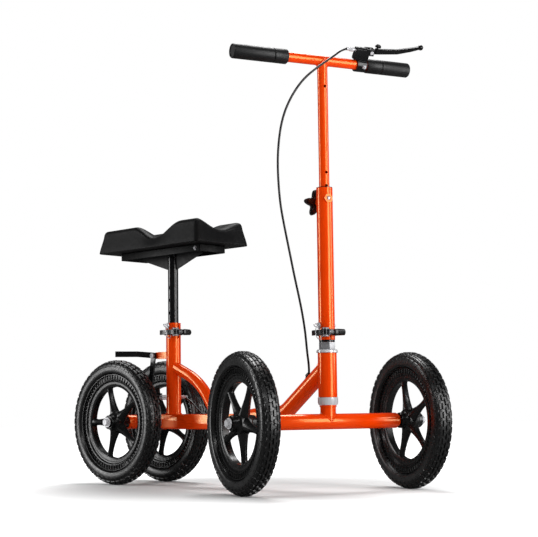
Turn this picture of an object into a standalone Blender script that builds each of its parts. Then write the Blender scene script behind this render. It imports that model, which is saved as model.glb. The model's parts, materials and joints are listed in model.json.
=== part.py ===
"""Knee walker: four wheels, a steered front axle, a raised knee pad and a hand brake.

Metres, +Z up, +X forward, +Y to the rider's left. The front axle is turned to the
rider's right at rest. Heights are measured up from the axle line unless a name says
otherwise, and the model stands on z = 0.
"""
import math

import bmesh
import bpy
from mathutils import Matrix, Vector

# Driving dimensions
WHEEL_RADIUS = 0.1524
WHEELBASE = 0.6254
REAR_TRACK = 0.160
FRONT_TRACK = 0.412
REST_STEER = math.radians(-20.0)
REAR_AXLE_X = -0.34484

# Fits
GAP = 0.0003
SLIDE_FIT = 0.00025
TURN_FIT = 0.0004
HOLE_FIT = 0.0004

# Facet counts of round pieces
WHEEL_STEPS = 30
TUBE_STEPS = 16
HUB_STEPS = 12
ROD_STEPS = 8
HOLE_STEPS = 6
PIPE_ROUND = 6
BEND_STEPS = 3

# Frame tubes
SPINE_SIDE = 0.036
SPINE_WALL = 0.0025
SPINE_CORNER = 0.004
SPINE_START = 0.010
SPINE_LENGTH = 0.335
TUBE_RADIUS = 0.018
TUBE_WALL = 0.0025
AXLE_TUBE_RADIUS = 0.017
BRACE_RADIUS = 0.0135
BRACE_WALL = 0.002
BRACE_CORNER = (0.0990, 0.0929)
BRACE_FOOT_X = 0.149
BRACE_SLOPE = 1.483
BRACE_BEND = 0.170
DOWN_TUBE_LOW_RUN = 0.0547
DOWN_TUBE_LOW_HEIGHT = 0.0131
DOWN_TUBE_KNEE_HEIGHT = 0.0139
DOWN_TUBE_KNEE_BEHIND_HEAD = 0.1354
DOWN_TUBE_SLOPE = math.radians(38.2)
DOWN_TUBE_LOW_BEND = 0.150
DOWN_TUBE_KNEE_BEND = 0.080

# Seat tube, post and clamp
SEAT_X = 0.121
SEAT_TUBE_TOP = 0.2406
SEAT_PIN_BELOW_TOP = 0.007
SEAT_CLAMP_BELOW_TOP = 0.023
SEAT_SLOT_LENGTH = 0.038
SLOT_WIDTH = 0.003
BUSHING_LENGTH = 0.062
POST_RADIUS = 0.0127
POST_WALL = 0.002
POST_BOTTOM = 0.1186
POST_HOLE_STEP = 0.0314
POST_HOLE_COUNT_EACH_WAY = 3
PIN_RADIUS = 0.003

# Knee pad and its tray
TRAY_BOTTOM = 0.4041
TRAY_DEPTH = 0.0168
TRAY_REAR_X = -0.029
TRAY_LENGTH = 0.293
TRAY_WIDTH = 0.0848
TRAY_SHEET = 0.0025
GUSSET_THICKNESS = 0.004
GUSSET_REAR_X = 0.002
GUSSET_FRONT_X = 0.227
GUSSET_EDGE_DEPTH = 0.0125
GUSSET_FOOT_DEPTH = 0.0465
PAD_LENGTH = 0.371
PAD_WIDTH = 0.173
PAD_CENTRE_X = 0.117
PAD_HEIGHT = 0.060
PAD_CORNER = 0.022
PAD_DRAW_IN = 0.009
PAD_EDGE_ROUND = 0.010
PAD_DIP_DEPTH = 0.033
PAD_DIP_X = 0.135
PAD_DIP_HALF_LENGTH = 0.068
PAD_CHANNEL_DEPTH = 0.019
PAD_CHANNEL_HALF_WIDTH = 0.045

# Head tube and steering bearings
HEAD_RADIUS = 0.0208
HEAD_BORE_RADIUS = 0.0175
HEAD_BOTTOM = 0.0527
HEAD_LENGTH = 0.097
CUP_RADIUS = 0.0222
CUP_HEIGHT = 0.0164
CUP_SLEEVE = 0.009
TOP_CUP_RADIUS = 0.0235
TOP_CUP_HEIGHT = 0.0067
RACE_RADIUS = 0.0185
RACE_HEIGHT = 0.004
STEERER_RADIUS = 0.0143
STEERER_BORE_RADIUS = 0.0122
STEERER_TOP = 0.2476
STEERER_BORE_BOTTOM = 0.0856
STEM_RADIUS = 0.017
LOCKNUT_RADIUS = 0.018
LOCKNUT_HEIGHT = 0.0161
SPACER_RADIUS = 0.0172
SPACER_HEIGHT = 0.0042

# Column
COLUMN_LENGTH = 0.3364
COLUMN_BORE_RADIUS = 0.0148
COLUMN_FOOT_SLOT = 0.022
COLUMN_CLAMP_ABOVE_FOOT = 0.0157
COLUMN_PIN_ABOVE_FOOT = 0.0316
COLUMN_BUSHING_LENGTH = 0.0163
PLUNGER_BELOW_TOP = 0.0248
PLUNGER_BOSS_RADIUS = 0.0095
PLUNGER_BOSS_REACH = 0.020
PLUNGER_RADIUS = 0.0047
PLUNGER_TIP_RADIUS = 0.003
PLUNGER_HEAD = 0.0035
KNOB_BELOW_TOP = 0.0287
KNOB_BOSS_RADIUS = 0.008
KNOB_BOSS_REACH = 0.030
KNOB_RADIUS = 0.026
KNOB_LOBE = 0.0045
KNOB_LOBES = 5
KNOB_THICKNESS = 0.014
KNOB_STUD_RADIUS = 0.004

# Inner column and handlebar
INNER_COLUMN_RADIUS = 0.0115
INNER_COLUMN_WALL = 0.0015
INNER_COLUMN_BOTTOM = 0.3176
INNER_COLUMN_TOP_BELOW_BAR = 0.0034
HEIGHT_HOLE_STEP = 0.0296
HEIGHT_HOLE_COUNT_BELOW = 4
HEIGHT_HOLE_COUNT_ABOVE = 2
UPPER_HOLE_BELOW_BAR = 0.0601
BAR_HEIGHT = 0.803
BAR_RADIUS = 0.0112
BAR_WALL = 0.002
BAR_HALF_LENGTH = 0.219
GRIP_RADIUS = 0.0165
GRIP_CAP = 0.0026
GRIP_GROOVE = 0.0015
RIGHT_GRIP_LENGTH = 0.132
RIGHT_GROOVE_FROM_INNER = 0.034
LEFT_GRIP_LENGTH = 0.1106
LEFT_GROOVE_FROM_INNER = 0.0376

# Quick-release clamp, the same on the seat tube and the column
CLAMP_HEIGHT = 0.013
CLAMP_WALL = 0.004
CLAMP_EAR_REACH = 0.036
CLAMP_EAR_SPREAD = 0.009
CLAMP_SLIT = 0.003
SKEWER_X = 0.0287
SKEWER_RADIUS = 0.003
SKEWER_WASHER_RADIUS = 0.0075
SKEWER_WASHER = 0.0027
FORK_SIZE = (0.014, 0.0132, 0.020)
FORK_WEB = 0.0014
CAM_RADIUS = 0.0055
CAM_PIN_RADIUS = 0.0025
LEVER_BLADE_HEIGHT = 0.0114
LEVER_BLADE_THICKNESS = 0.004
LEVER_BLADE_TAIL = 0.049
THUMB_NUT_RADIUS = 0.008
THUMB_NUT_LENGTH = 0.0185
THUMB_NUT_RIBS = 10

# Wheels
TYRE_HALF_WIDTH = 0.0215
TYRE_INNER_RADIUS = 0.1189
RIM_RADIUS = 0.118
RIM_INNER_RADIUS = 0.087
RIM_HALF_WIDTH = 0.016
KNOB_RISE = 0.0035
KNOB_INSET = 0.0018
TREAD_STRIP = 0.0046
TREAD_SHOULDER = 0.013
HUB_RADIUS = 0.024
HUB_HALF_LENGTH = 0.027
HUB_BOSS_RADIUS = 0.009
HUB_BOSS_HALF_LENGTH = 0.0297
SPOKES = 5
SPOKE_WIDTH_IN = 0.0125
SPOKE_WIDTH_OUT = 0.0075
SPOKE_DEPTH = 0.75
AXLE_BOLT_RADIUS = 0.006
AXLE_WASHER_RADIUS = 0.012
AXLE_WASHER = 0.0025
AXLE_HEAD_RADIUS = 0.0082
AXLE_HEAD = 0.006
AXLE_BORE_DEPTH = 0.035

# Brake lever on the bar: distances out from the bar and along it
LEVER_TILT = math.radians(50.0)
BRACKET_INNER_END = 0.074
BRACKET_OUTER_END = 0.108
BRACKET_COLLAR_START = 0.084
BRACKET_COLLAR_RADIUS = 0.0155
BRACKET_REACH = 0.042
BRACKET_HALF_DEPTH = 0.008
PIVOT_ALONG = 0.112
PIVOT_OUT = 0.036
LEVER_PIN_RADIUS = 0.0025
LEVER_EYE_RADIUS = 0.0066
LEVER_THICKNESS = 0.005
LEVER_WIDTH = 0.012
LEVER_ROUTE = ((0.112, 0.036), (0.133, 0.038), (0.180, 0.043), (0.214, 0.0525), (0.233, 0.0590))
LEVER_BALL = (0.236, 0.060)
LEVER_BALL_RADIUS = 0.0065
LOCK_BUTTON_ALONG = 0.127
LOCK_BUTTON_RADIUS = 0.007
LOCK_BUTTON_TRAVEL = 0.004
LOCK_BUTTON_HEAD = 0.005
LOCK_STEM_RADIUS = 0.002
LOCK_BOSS_RADIUS = 0.0046
LOCK_BOSS_TOP = 0.0085
ADJUSTER_LENGTH = 0.0235
ADJUSTER_RADIUS = 0.005

# Rear brake
YOKE_PIVOT_X = 0.0566
YOKE_PIVOT_ABOVE_TYRE = 0.0102
YOKE_BAR_HEIGHT = 0.014
YOKE_BAR_THICKNESS = 0.005
YOKE_BAR_RISE = 0.0045
YOKE_BAR_ROUTE = ((0.0084, 0.009), (-0.0095, 0.009), (-0.0266, 0.038), (-0.0586, 0.083))
YOKE_ARM_FOOT = (-0.0155, -0.107)
YOKE_BOLT_RADIUS = 0.0039
YOKE_BOLT_HEAD_RADIUS = 0.0062
BRACKET_LUG_HALF_WIDTH = 0.0062
BRACKET_LUG_HALF_HEIGHT = 0.0085
ANCHOR_THICKNESS = 0.006
ANCHOR_LEFT_REACH = 0.030
CABLE_LINE_Y = 0.0228
CABLE_LINE_HEIGHT = 0.0596
CABLE_RADIUS = 0.0025
WIRE_RADIUS = 0.0009
STOP_REAR_X = 0.1075
STOP_LENGTH = 0.0255
STOP_RADIUS = 0.0045
STOP_FLANGE_RADIUS = 0.0075
STOP_FLANGE = 0.0026
SPRING_RADIUS = 0.0057
SPRING_WIRE = 0.0008
SPRING_TURNS = 6
CLIP_ALONG = 0.060
CLIP_ABOVE_TUBE = 0.0245
CLIP_SIDE_ANGLE = math.radians(10.0)
CLIP_LENGTH = 0.008
CLIP_RADIUS = 0.0047

# Front cable route, in the steered frame: forward, left, height above the ground
FRONT_CABLE_ROUTE = (
    (0.0231, 0.0501, 0.9830),
    (0.0231, 0.0445, 0.9830),
    (0.0280, 0.0330, 0.9780),
    (0.0400, 0.0140, 0.9620),
    (0.0460, -0.0190, 0.9390),
    (0.0460, -0.0490, 0.9170),
    (0.0420, -0.0725, 0.8950),
    (0.0360, -0.0950, 0.8610),
    (0.0290, -0.1100, 0.8260),
    (0.0220, -0.1180, 0.7870),
    (0.0110, -0.1200, 0.7200),
    (-0.0030, -0.1090, 0.6350),
    (-0.0120, -0.0940, 0.5770),
    (-0.0200, -0.0775, 0.5190),
    (-0.0270, -0.0640, 0.4720),
    (-0.0360, -0.0440, 0.4050),
    (-0.0440, -0.0300, 0.3470),
    (-0.0505, -0.0225, 0.2960),
    (-0.0508, -0.0170, 0.2730),
    (-0.0530, -0.0148, 0.2603),
    (-0.0566, -0.0161, 0.2572),
)

# Rear cable route, in the frame: forward of the rear axle, left, height above the ground
REAR_CABLE_START_BEHIND_HEAD = 0.0655
REAR_CABLE_ROUTE = (
    (0.5599, 0.0043, 0.2519),
    (0.5560, 0.0043, 0.2488),
    (0.5490, 0.0096, 0.2395),
    (0.5361, 0.0189, 0.2163),
    (0.5188, 0.0215, 0.1898),
    (0.4930, 0.0215, 0.1735),
    (0.4550, 0.0215, 0.1665),
    (0.4000, 0.0215, 0.1640),
    (0.3500, 0.0213, 0.1565),
    (0.3000, 0.0213, 0.1510),
    (0.2550, 0.0213, 0.1515),
    (0.2220, 0.0215, 0.1585),
    (0.1965, 0.0220, 0.1714),
    (0.1740, 0.0223, 0.1890),
    (0.1560, 0.0227, 0.2045),
    (0.1388, 0.0228, 0.2120),
    (0.1333, 0.0228, 0.2120),
)

# Colour, roughness and metallic value of each finish
FINISHES = {
    "orange_paint": ((0.90, 0.085, 0.005), 0.22, 0.0),
    "black_rubber": ((0.018, 0.018, 0.019), 0.75, 0.0),
    "black_plastic": ((0.014, 0.014, 0.015), 0.38, 0.0),
    "black_paint": ((0.012, 0.012, 0.013), 0.25, 0.0),
    "black_vinyl": ((0.016, 0.016, 0.017), 0.55, 0.0),
    "zinc": ((0.62, 0.63, 0.64), 0.32, 1.0),
    "chrome": ((0.80, 0.80, 0.81), 0.14, 1.0),
}

ALONG_Y = (math.radians(-90.0), 0.0, 0.0)
ALONG_X = (0.0, math.radians(90.0), 0.0)
ON_EDGE = (math.radians(90.0), 0.0, 0.0)
SHARP_ANGLE = math.radians(40.0)
MERGE = 0.00001


def clear_scene():
    """Remove whatever objects the file opened with."""
    for item in list(bpy.data.objects):
        bpy.data.objects.remove(item, do_unlink=True)


def new_collection(name):
    """Make a collection and link it to the scene."""
    group = bpy.data.collections.new(name)
    bpy.context.scene.collection.children.link(group)
    return group


clear_scene()
PARTS = new_collection("knee_walker")
CUTTERS = new_collection("knee_walker_cutters")


# Placing pieces

def new_empty(name, parent=None, location=(0.0, 0.0, 0.0), rotation=(0.0, 0.0, 0.0)):
    """Add an empty that carries pieces."""
    empty = bpy.data.objects.new(name, None)
    empty.empty_display_size = 0.03
    empty.parent = parent
    empty.location = location
    empty.rotation_euler = rotation
    PARTS.objects.link(empty)
    return empty


def add_material(piece, finish):
    """Give a piece its own material."""
    colour, roughness, metallic = FINISHES[finish]
    surface = bpy.data.materials.new(piece.name + "_" + finish)
    surface.use_nodes = True
    shader = surface.node_tree.nodes["Principled BSDF"]
    shader.inputs["Base Color"].default_value = (*colour, 1.0)
    shader.inputs["Roughness"].default_value = roughness
    shader.inputs["Metallic"].default_value = metallic
    piece.data.materials.clear()
    piece.data.materials.append(surface)


def add_piece(name, mesh, finish, parent, location=(0.0, 0.0, 0.0), rotation=(0.0, 0.0, 0.0)):
    """Add one sub-part in the parts collection."""
    piece = bpy.data.objects.new(name, mesh)
    piece.parent = parent
    piece.location = location
    piece.rotation_euler = rotation
    PARTS.objects.link(piece)
    add_material(piece, finish)
    return piece


def add_tool(piece, mesh, operation, location=(0.0, 0.0, 0.0), rotation=(0.0, 0.0, 0.0)):
    """Cut a piece with a mesh, or join a mesh to it, in the piece's own frame."""
    tool = bpy.data.objects.new(piece.name + "_" + mesh.name, mesh)
    tool.parent = piece
    tool.location = location
    tool.rotation_euler = rotation
    tool.hide_render = True
    tool.display_type = "WIRE"
    CUTTERS.objects.link(tool)
    boolean = piece.modifiers.new(tool.name, "BOOLEAN")
    boolean.operation = operation
    boolean.solver = "EXACT"
    boolean.object = tool


def cut(piece, mesh, location=(0.0, 0.0, 0.0), rotation=(0.0, 0.0, 0.0)):
    """Take a shape out of a piece."""
    add_tool(piece, mesh, "DIFFERENCE", location, rotation)


def join(piece, mesh, location=(0.0, 0.0, 0.0), rotation=(0.0, 0.0, 0.0)):
    """Weld a shape to a piece."""
    add_tool(piece, mesh, "UNION", location, rotation)


# Shapes

def bore(radius, clearance, steps):
    """Radius of a faceted hole whose flats clear a round piece."""
    return (radius + clearance) / math.cos(math.pi / steps)


def shade(mesh):
    """Smooth a mesh but keep its real edges."""
    mesh.shade_smooth()
    mesh.set_sharp_from_angle(angle=SHARP_ANGLE)
    return mesh


def mesh_from_object(temporary, name):
    """Turn a temporary object into a welded mesh and remove the object."""
    bpy.context.scene.collection.objects.link(temporary)
    bpy.context.view_layer.update()
    graph = bpy.context.evaluated_depsgraph_get()
    mesh = bpy.data.meshes.new_from_object(temporary.evaluated_get(graph))
    mesh.name = name
    bpy.data.objects.remove(temporary, do_unlink=True)
    work = bmesh.new()
    work.from_mesh(mesh)
    bmesh.ops.remove_doubles(work, verts=work.verts, dist=MERGE)
    bmesh.ops.recalc_face_normals(work, faces=work.faces)
    work.to_mesh(mesh)
    work.free()
    return shade(mesh)


def turned(name, profile, steps, ring=False):
    """Turn a profile of (radius, height) points about Z, listed down the outer side."""
    edges = [(index, index + 1) for index in range(len(profile) - 1)]
    if ring:
        edges.append((len(profile) - 1, 0))
    outline = bpy.data.meshes.new(name + "_profile")
    outline.from_pydata([(radius, 0.0, height) for radius, height in profile], edges, [])
    temporary = bpy.data.objects.new(name + "_profile", outline)
    screw = temporary.modifiers.new("Turn", "SCREW")
    screw.axis = "Z"
    screw.steps = steps
    screw.render_steps = steps
    screw.use_merge_vertices = True
    screw.merge_threshold = MERGE
    return mesh_from_object(temporary, name)


def ring(name, outer, inner, bottom, top, steps):
    """A plain round tube."""
    profile = ((outer, top), (outer, bottom), (inner, bottom), (inner, top))
    return turned(name, profile, steps, ring=True)


def rod(name, radius, bottom, top, steps=ROD_STEPS):
    """A plain round bar along Z."""
    work = bmesh.new()
    middle = Matrix.Translation((0.0, 0.0, (bottom + top) / 2.0))
    bmesh.ops.create_cone(work, cap_ends=True, segments=steps, radius1=radius, radius2=radius,
                          depth=top - bottom, matrix=middle)
    mesh = bpy.data.meshes.new(name)
    work.to_mesh(mesh)
    work.free()
    return shade(mesh)


def block(name, low, high, bevel=0.0, along=None):
    """A box between two corners, its edges bevelled, or only those along one axis."""
    low = Vector(low)
    high = Vector(high)
    work = bmesh.new()
    size = Matrix.Diagonal((high - low).to_4d())
    size[3][3] = 1.0
    bmesh.ops.create_cube(work, size=1.0, matrix=Matrix.Translation((low + high) / 2.0) @ size)
    if bevel:
        edges = [edge for edge in work.edges if along is None or runs_along(edge, along)]
        bmesh.ops.bevel(work, geom=edges, offset=bevel, segments=2, profile=0.5,
                        affect="EDGES")
    mesh = bpy.data.meshes.new(name)
    work.to_mesh(mesh)
    work.free()
    return shade(mesh)


def runs_along(edge, axis):
    """Tell whether an edge runs along an axis, given as 0, 1 or 2."""
    span = edge.verts[1].co - edge.verts[0].co
    return abs(span[axis]) > 0.99 * span.length


def plate(name, outline, thickness):
    """A flat outline in XY, extruded evenly to both sides of the plane."""
    curve = bpy.data.curves.new(name + "_outline", "CURVE")
    curve.dimensions = "2D"
    curve.fill_mode = "BOTH"
    curve.extrude = thickness / 2.0
    spline = curve.splines.new("POLY")
    spline.points.add(len(outline) - 1)
    for point, (x, y) in zip(spline.points, outline):
        point.co = (x, y, 0.0, 1.0)
    spline.use_cyclic_u = True
    return mesh_from_object(bpy.data.objects.new(name + "_outline", curve), name)


def pipe(name, points, radius, resolution=2, closed=False):
    """A round tube along points, with flat caps."""
    curve = bpy.data.curves.new(name + "_path", "CURVE")
    curve.dimensions = "3D"
    curve.bevel_depth = radius
    curve.bevel_resolution = resolution
    curve.use_fill_caps = not closed
    spline = curve.splines.new("POLY")
    spline.points.add(len(points) - 1)
    for point, place in zip(spline.points, points):
        point.co = (*place, 1.0)
    spline.use_cyclic_u = closed
    return mesh_from_object(bpy.data.objects.new(name + "_path", curve), name)


# Paths and outlines

def bent_path(corners, bends, steps=BEND_STEPS):
    """Points along straight runs with a round bend at each inner corner."""
    corners = [Vector(corner) for corner in corners]
    points = [corners[0]]
    for index, radius in enumerate(bends):
        before, corner, after = corners[index:index + 3]
        into = (corner - before).normalized()
        out = (after - corner).normalized()
        angle = into.angle(out)
        setback = radius * math.tan(angle / 2.0)
        start = corner - into * setback
        inward = (out - into).normalized()
        centre = corner + inward * (radius / math.cos(angle / 2.0))
        spoke = start - centre
        turn_axis = into.cross(out)
        for step in range(steps + 1):
            turn = Matrix.Rotation(angle * step / steps, 3, turn_axis)
            points.append(centre + turn @ spoke)
    points.append(corners[-1])
    return points


def smooth_path(route, spacing):
    """Evenly spaced points on a smooth curve through a route's points."""
    route = [Vector(point) for point in route]
    padded = [route[0] * 2.0 - route[1]] + route + [route[-1] * 2.0 - route[-2]]
    fine = []
    for index in range(1, len(padded) - 2):
        before, start, end, after = padded[index - 1:index + 3]
        for step in range(12):
            t = step / 12.0
            fine.append(0.5 * (2.0 * start + (end - before) * t
                               + (2.0 * before - 5.0 * start + 4.0 * end - after) * t ** 2
                               + (3.0 * start - before - 3.0 * end + after) * t ** 3))
    fine.append(route[-1])
    lengths = [0.0]
    for start, end in zip(fine, fine[1:]):
        lengths.append(lengths[-1] + (end - start).length)
    count = max(2, round(lengths[-1] / spacing))
    points = []
    index = 0
    for number in range(count + 1):
        wanted = lengths[-1] * number / count
        while index < len(fine) - 2 and lengths[index + 1] < wanted:
            index += 1
        share = (wanted - lengths[index]) / (lengths[index + 1] - lengths[index])
        points.append(fine[index].lerp(fine[index + 1], share))
    return points


def ribbon(route, half_widths):
    """Outline of a flat strip along a route in the plane."""
    route = [Vector(point) for point in route]
    left = []
    right = []
    for index, point in enumerate(route):
        into = (point - route[max(index - 1, 0)])
        out = (route[min(index + 1, len(route) - 1)] - point)
        into = into.normalized() if into.length > 0.0 else out.normalized()
        out = out.normalized() if out.length > 0.0 else into
        middle = (into + out).normalized()
        reach = half_widths[index] / max(middle.dot(out), 0.5)
        side = Vector((-middle.y, middle.x)) * reach
        left.append(point + side)
        right.append(point - side)
    return [tuple(point) for point in left + right[::-1]]


def arc(centre, radius, start, end, steps):
    """Points on an arc in the plane, its angles in degrees."""
    points = []
    for step in range(steps + 1):
        angle = math.radians(start + (end - start) * step / steps)
        points.append((centre[0] + radius * math.cos(angle), centre[1] + radius * math.sin(angle)))
    return points


# Frame

def make_spine(frame):
    """Square spine tube, coped round the rear axle tube."""
    half = SPINE_SIDE / 2.0
    end = SPINE_START + SPINE_LENGTH
    outside = block("outside", (SPINE_START, -half, -half), (end, half, half), SPINE_CORNER, 0)
    spine = add_piece("spine_tube", outside, "orange_paint", frame)
    inner = half - SPINE_WALL
    reach = 0.05
    hollow = block("hollow", (SPINE_START - reach, -inner, -inner), (end + reach, inner, inner))
    cut(spine, hollow)
    axle = rod("axle_cope", AXLE_TUBE_RADIUS + GAP, -reach, reach, TUBE_STEPS)
    cut(spine, axle, rotation=ALONG_Y)


def axle_tube_mesh(half_length, end_round):
    """Axle tube with a blind threaded bore for a wheel bolt at each end."""
    hole = bore(AXLE_BOLT_RADIUS, GAP, TUBE_STEPS)
    floor = half_length - AXLE_BORE_DEPTH
    radius = AXLE_TUBE_RADIUS
    half_profile = [(0.0, floor), (hole, floor), (hole, half_length),
                    (radius - end_round, half_length), (radius, half_length - 1.5 * end_round)]
    profile = half_profile + [(r, -height) for r, height in reversed(half_profile)]
    return turned("axle_tube", profile, TUBE_STEPS)


def axle_half_length(track):
    """Half the length of an axle tube that reaches its two hubs."""
    return track / 2.0 - HUB_BOSS_HALF_LENGTH - GAP


def make_seat_tube(frame):
    """Upright tube on the spine, slotted and cross-drilled at its clamped top."""
    bottom = SPINE_SIDE / 2.0 + GAP
    inner = TUBE_RADIUS - TUBE_WALL
    body = ring("body", TUBE_RADIUS, inner, bottom, SEAT_TUBE_TOP, TUBE_STEPS)
    tube = add_piece("seat_tube", body, "orange_paint", frame, (SEAT_X, 0.0, 0.0))
    slot_low = (0.0, -SLOT_WIDTH / 2.0, SEAT_TUBE_TOP - SEAT_SLOT_LENGTH)
    slot_high = (0.03, SLOT_WIDTH / 2.0, SEAT_TUBE_TOP + 0.01)
    cut(tube, block("slot", slot_low, slot_high))
    cut(tube, pin_hole(TUBE_RADIUS), (0.0, 0.0, seat_pin_height()), ALONG_Y)

    bushing_top = SEAT_TUBE_TOP - 2.0 * GAP
    bushing_body = ring("body", inner - GAP, bore(POST_RADIUS, SLIDE_FIT, TUBE_STEPS),
                        bushing_top - BUSHING_LENGTH, bushing_top, TUBE_STEPS)
    bushing = add_piece("seat_bushing", bushing_body, "black_plastic", frame, (SEAT_X, 0.0, 0.0))
    cut(bushing, pin_hole(TUBE_RADIUS), (0.0, 0.0, seat_pin_height()), ALONG_Y)


def seat_pin_height():
    """Height of the locking pin through the seat tube."""
    return SEAT_TUBE_TOP - SEAT_PIN_BELOW_TOP


def pin_hole(tube_radius):
    """Cross hole for a locking pin, right through a tube."""
    hole = bore(PIN_RADIUS, HOLE_FIT, HOLE_STEPS)
    return rod("pin_hole", hole, -tube_radius - 0.005, tube_radius + 0.005, HOLE_STEPS)


def make_brace(frame):
    """Bent brace from the back of the seat tube's front down to the spine's top."""
    spine_top = SPINE_SIDE / 2.0
    corner_x = SEAT_X + BRACE_CORNER[0]
    corner_z = BRACE_CORNER[1]
    upper_slope = 0.433
    start = (SEAT_X, 0.0, corner_z + upper_slope * (corner_x - SEAT_X))
    foot_x = SEAT_X + BRACE_FOOT_X
    below = 0.016
    end = (foot_x + below / BRACE_SLOPE, 0.0, spine_top - below)
    path = bent_path((start, (corner_x, 0.0, corner_z), end), (BRACE_BEND,))
    body = pipe("body", path, BRACE_RADIUS, PIPE_ROUND - 2)
    brace = add_piece("brace_tube", body, "orange_paint", frame)
    cut(brace, pipe("hollow", stretched(path, 0.01), BRACE_RADIUS - BRACE_WALL, PIPE_ROUND - 2))
    seat = rod("seat_cope", TUBE_RADIUS + GAP, -0.05, 0.30, 2 * HUB_STEPS)
    cut(brace, seat, (SEAT_X, 0.0, 0.0))
    reach = 0.06
    floor_low = (foot_x - reach, -reach, -reach)
    floor_high = (foot_x + reach, reach, spine_top + GAP)
    cut(brace, block("floor", floor_low, floor_high))


def stretched(path, extra):
    """A path with both of its ends run on a little."""
    first = path[0] + (path[0] - path[1]).normalized() * extra
    last = path[-1] + (path[-1] - path[-2]).normalized() * extra
    return [first] + list(path[1:-1]) + [last]


def down_tube_path():
    """Centre line of the down tube, from the spine's end to the steering axis."""
    start_x = SPINE_START + SPINE_LENGTH + GAP
    knee_x = WHEELBASE - DOWN_TUBE_KNEE_BEHIND_HEAD
    rise = DOWN_TUBE_KNEE_BEHIND_HEAD * math.tan(DOWN_TUBE_SLOPE)
    corners = ((start_x, 0.0, 0.0),
               (start_x + DOWN_TUBE_LOW_RUN, 0.0, DOWN_TUBE_LOW_HEIGHT),
               (knee_x, 0.0, DOWN_TUBE_KNEE_HEIGHT),
               (WHEELBASE, 0.0, DOWN_TUBE_KNEE_HEIGHT + rise))
    return bent_path(corners, (DOWN_TUBE_LOW_BEND, DOWN_TUBE_KNEE_BEND))


def make_down_tube(frame):
    """Bent main tube, coped round the head tube."""
    path = down_tube_path()
    tube = add_piece("down_tube", pipe("body", path, TUBE_RADIUS, PIPE_ROUND),
                     "orange_paint", frame)
    cut(tube, pipe("hollow", stretched(path, 0.01), TUBE_RADIUS - TUBE_WALL, PIPE_ROUND - 2))
    start_x = SPINE_START + SPINE_LENGTH + GAP
    reach = 0.05
    end_trim = block("end_trim", (start_x - reach, -reach, -reach), (start_x, reach, reach))
    cut(tube, end_trim)
    head = rod("head_cope", HEAD_RADIUS + GAP, -0.1, 0.3, TUBE_STEPS)
    cut(tube, head, (WHEELBASE, 0.0, 0.0))


def make_head(frame):
    """Head tube with a pressed cup at each end."""
    place = (WHEELBASE, 0.0, 0.0)
    top = HEAD_BOTTOM + HEAD_LENGTH
    body = ring("body", HEAD_RADIUS, HEAD_BORE_RADIUS, HEAD_BOTTOM, top, TUBE_STEPS)
    add_piece("head_tube", body, "orange_paint", frame, place)
    hole = bore(STEERER_RADIUS, GAP, TUBE_STEPS)
    sleeve = HEAD_BORE_RADIUS - GAP
    cup_top = HEAD_BOTTOM - GAP
    cup_bottom = cup_top - CUP_HEIGHT
    shoulder = cup_bottom + CUP_HEIGHT * 0.3
    lower = ((sleeve, cup_top + CUP_SLEEVE), (sleeve, cup_top), (CUP_RADIUS, cup_top),
             (CUP_RADIUS, shoulder), (CUP_RADIUS - 0.002, cup_bottom), (hole, cup_bottom),
             (hole, cup_top + CUP_SLEEVE))
    add_piece("lower_headset_cup", turned("body", lower, TUBE_STEPS, ring=True), "chrome",
              frame, place)
    flange = top + GAP
    upper = ((TOP_CUP_RADIUS - 0.002, flange + TOP_CUP_HEIGHT),
             (TOP_CUP_RADIUS, flange + TOP_CUP_HEIGHT * 0.6), (TOP_CUP_RADIUS, flange),
             (sleeve, flange), (sleeve, flange - CUP_SLEEVE), (hole, flange - CUP_SLEEVE),
             (hole, flange + TOP_CUP_HEIGHT))
    add_piece("upper_headset_cup", turned("body", upper, TUBE_STEPS, ring=True), "chrome",
              frame, place)


def yoke_pivot():
    """Place of the brake yoke's pivot in the frame."""
    return (YOKE_PIVOT_X, 0.0, WHEEL_RADIUS + YOKE_PIVOT_ABOVE_TYRE)


def make_brake_bracket(frame):
    """Lug on the back of the seat tube, with an eye for the yoke's bolt."""
    eye = 0.0075
    reach = SEAT_X - YOKE_PIVOT_X
    half = BRACKET_LUG_HALF_HEIGHT
    outline = arc((0.0, 0.0), eye, 75.0, 285.0, 8)
    outline += [(0.010, -half), (reach, -half), (reach, half), (0.010, half)]
    body = plate("body", outline, 2.0 * BRACKET_LUG_HALF_WIDTH)
    bracket = add_piece("brake_bracket", body, "orange_paint", frame, yoke_pivot(), ON_EDGE)
    hole = bore(YOKE_BOLT_RADIUS, HOLE_FIT, ROD_STEPS)
    cut(bracket, rod("bolt_hole", hole, -0.02, 0.02))
    cope = rod("seat_cope", TUBE_RADIUS + GAP, -0.05, 0.05, TUBE_STEPS)
    cut(bracket, cope, (reach, 0.0, 0.0), ON_EDGE)

    ear = yoke_ear_outside() + GAP
    head = YOKE_BOLT_HEAD_RADIUS
    bolt = ((0.0, ear + 0.004), (head - 0.001, ear + 0.004), (head, ear + 0.0025), (head, ear),
            (YOKE_BOLT_RADIUS, ear), (YOKE_BOLT_RADIUS, -ear), (head, -ear),
            (head, -ear - 0.0045), (0.0, -ear - 0.0045))
    add_piece("brake_pivot_bolt", turned("body", bolt, ROD_STEPS), "zinc", frame, yoke_pivot(),
              ALONG_Y)


def yoke_ear_outside():
    """Distance from the middle to the outer face of a yoke ear."""
    return YOKE_BAR_ROUTE[0][1] + YOKE_BAR_THICKNESS / 2.0


def cable_line_height():
    """Height of the bare brake wire above the axle line."""
    return CABLE_LINE_HEIGHT


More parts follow.
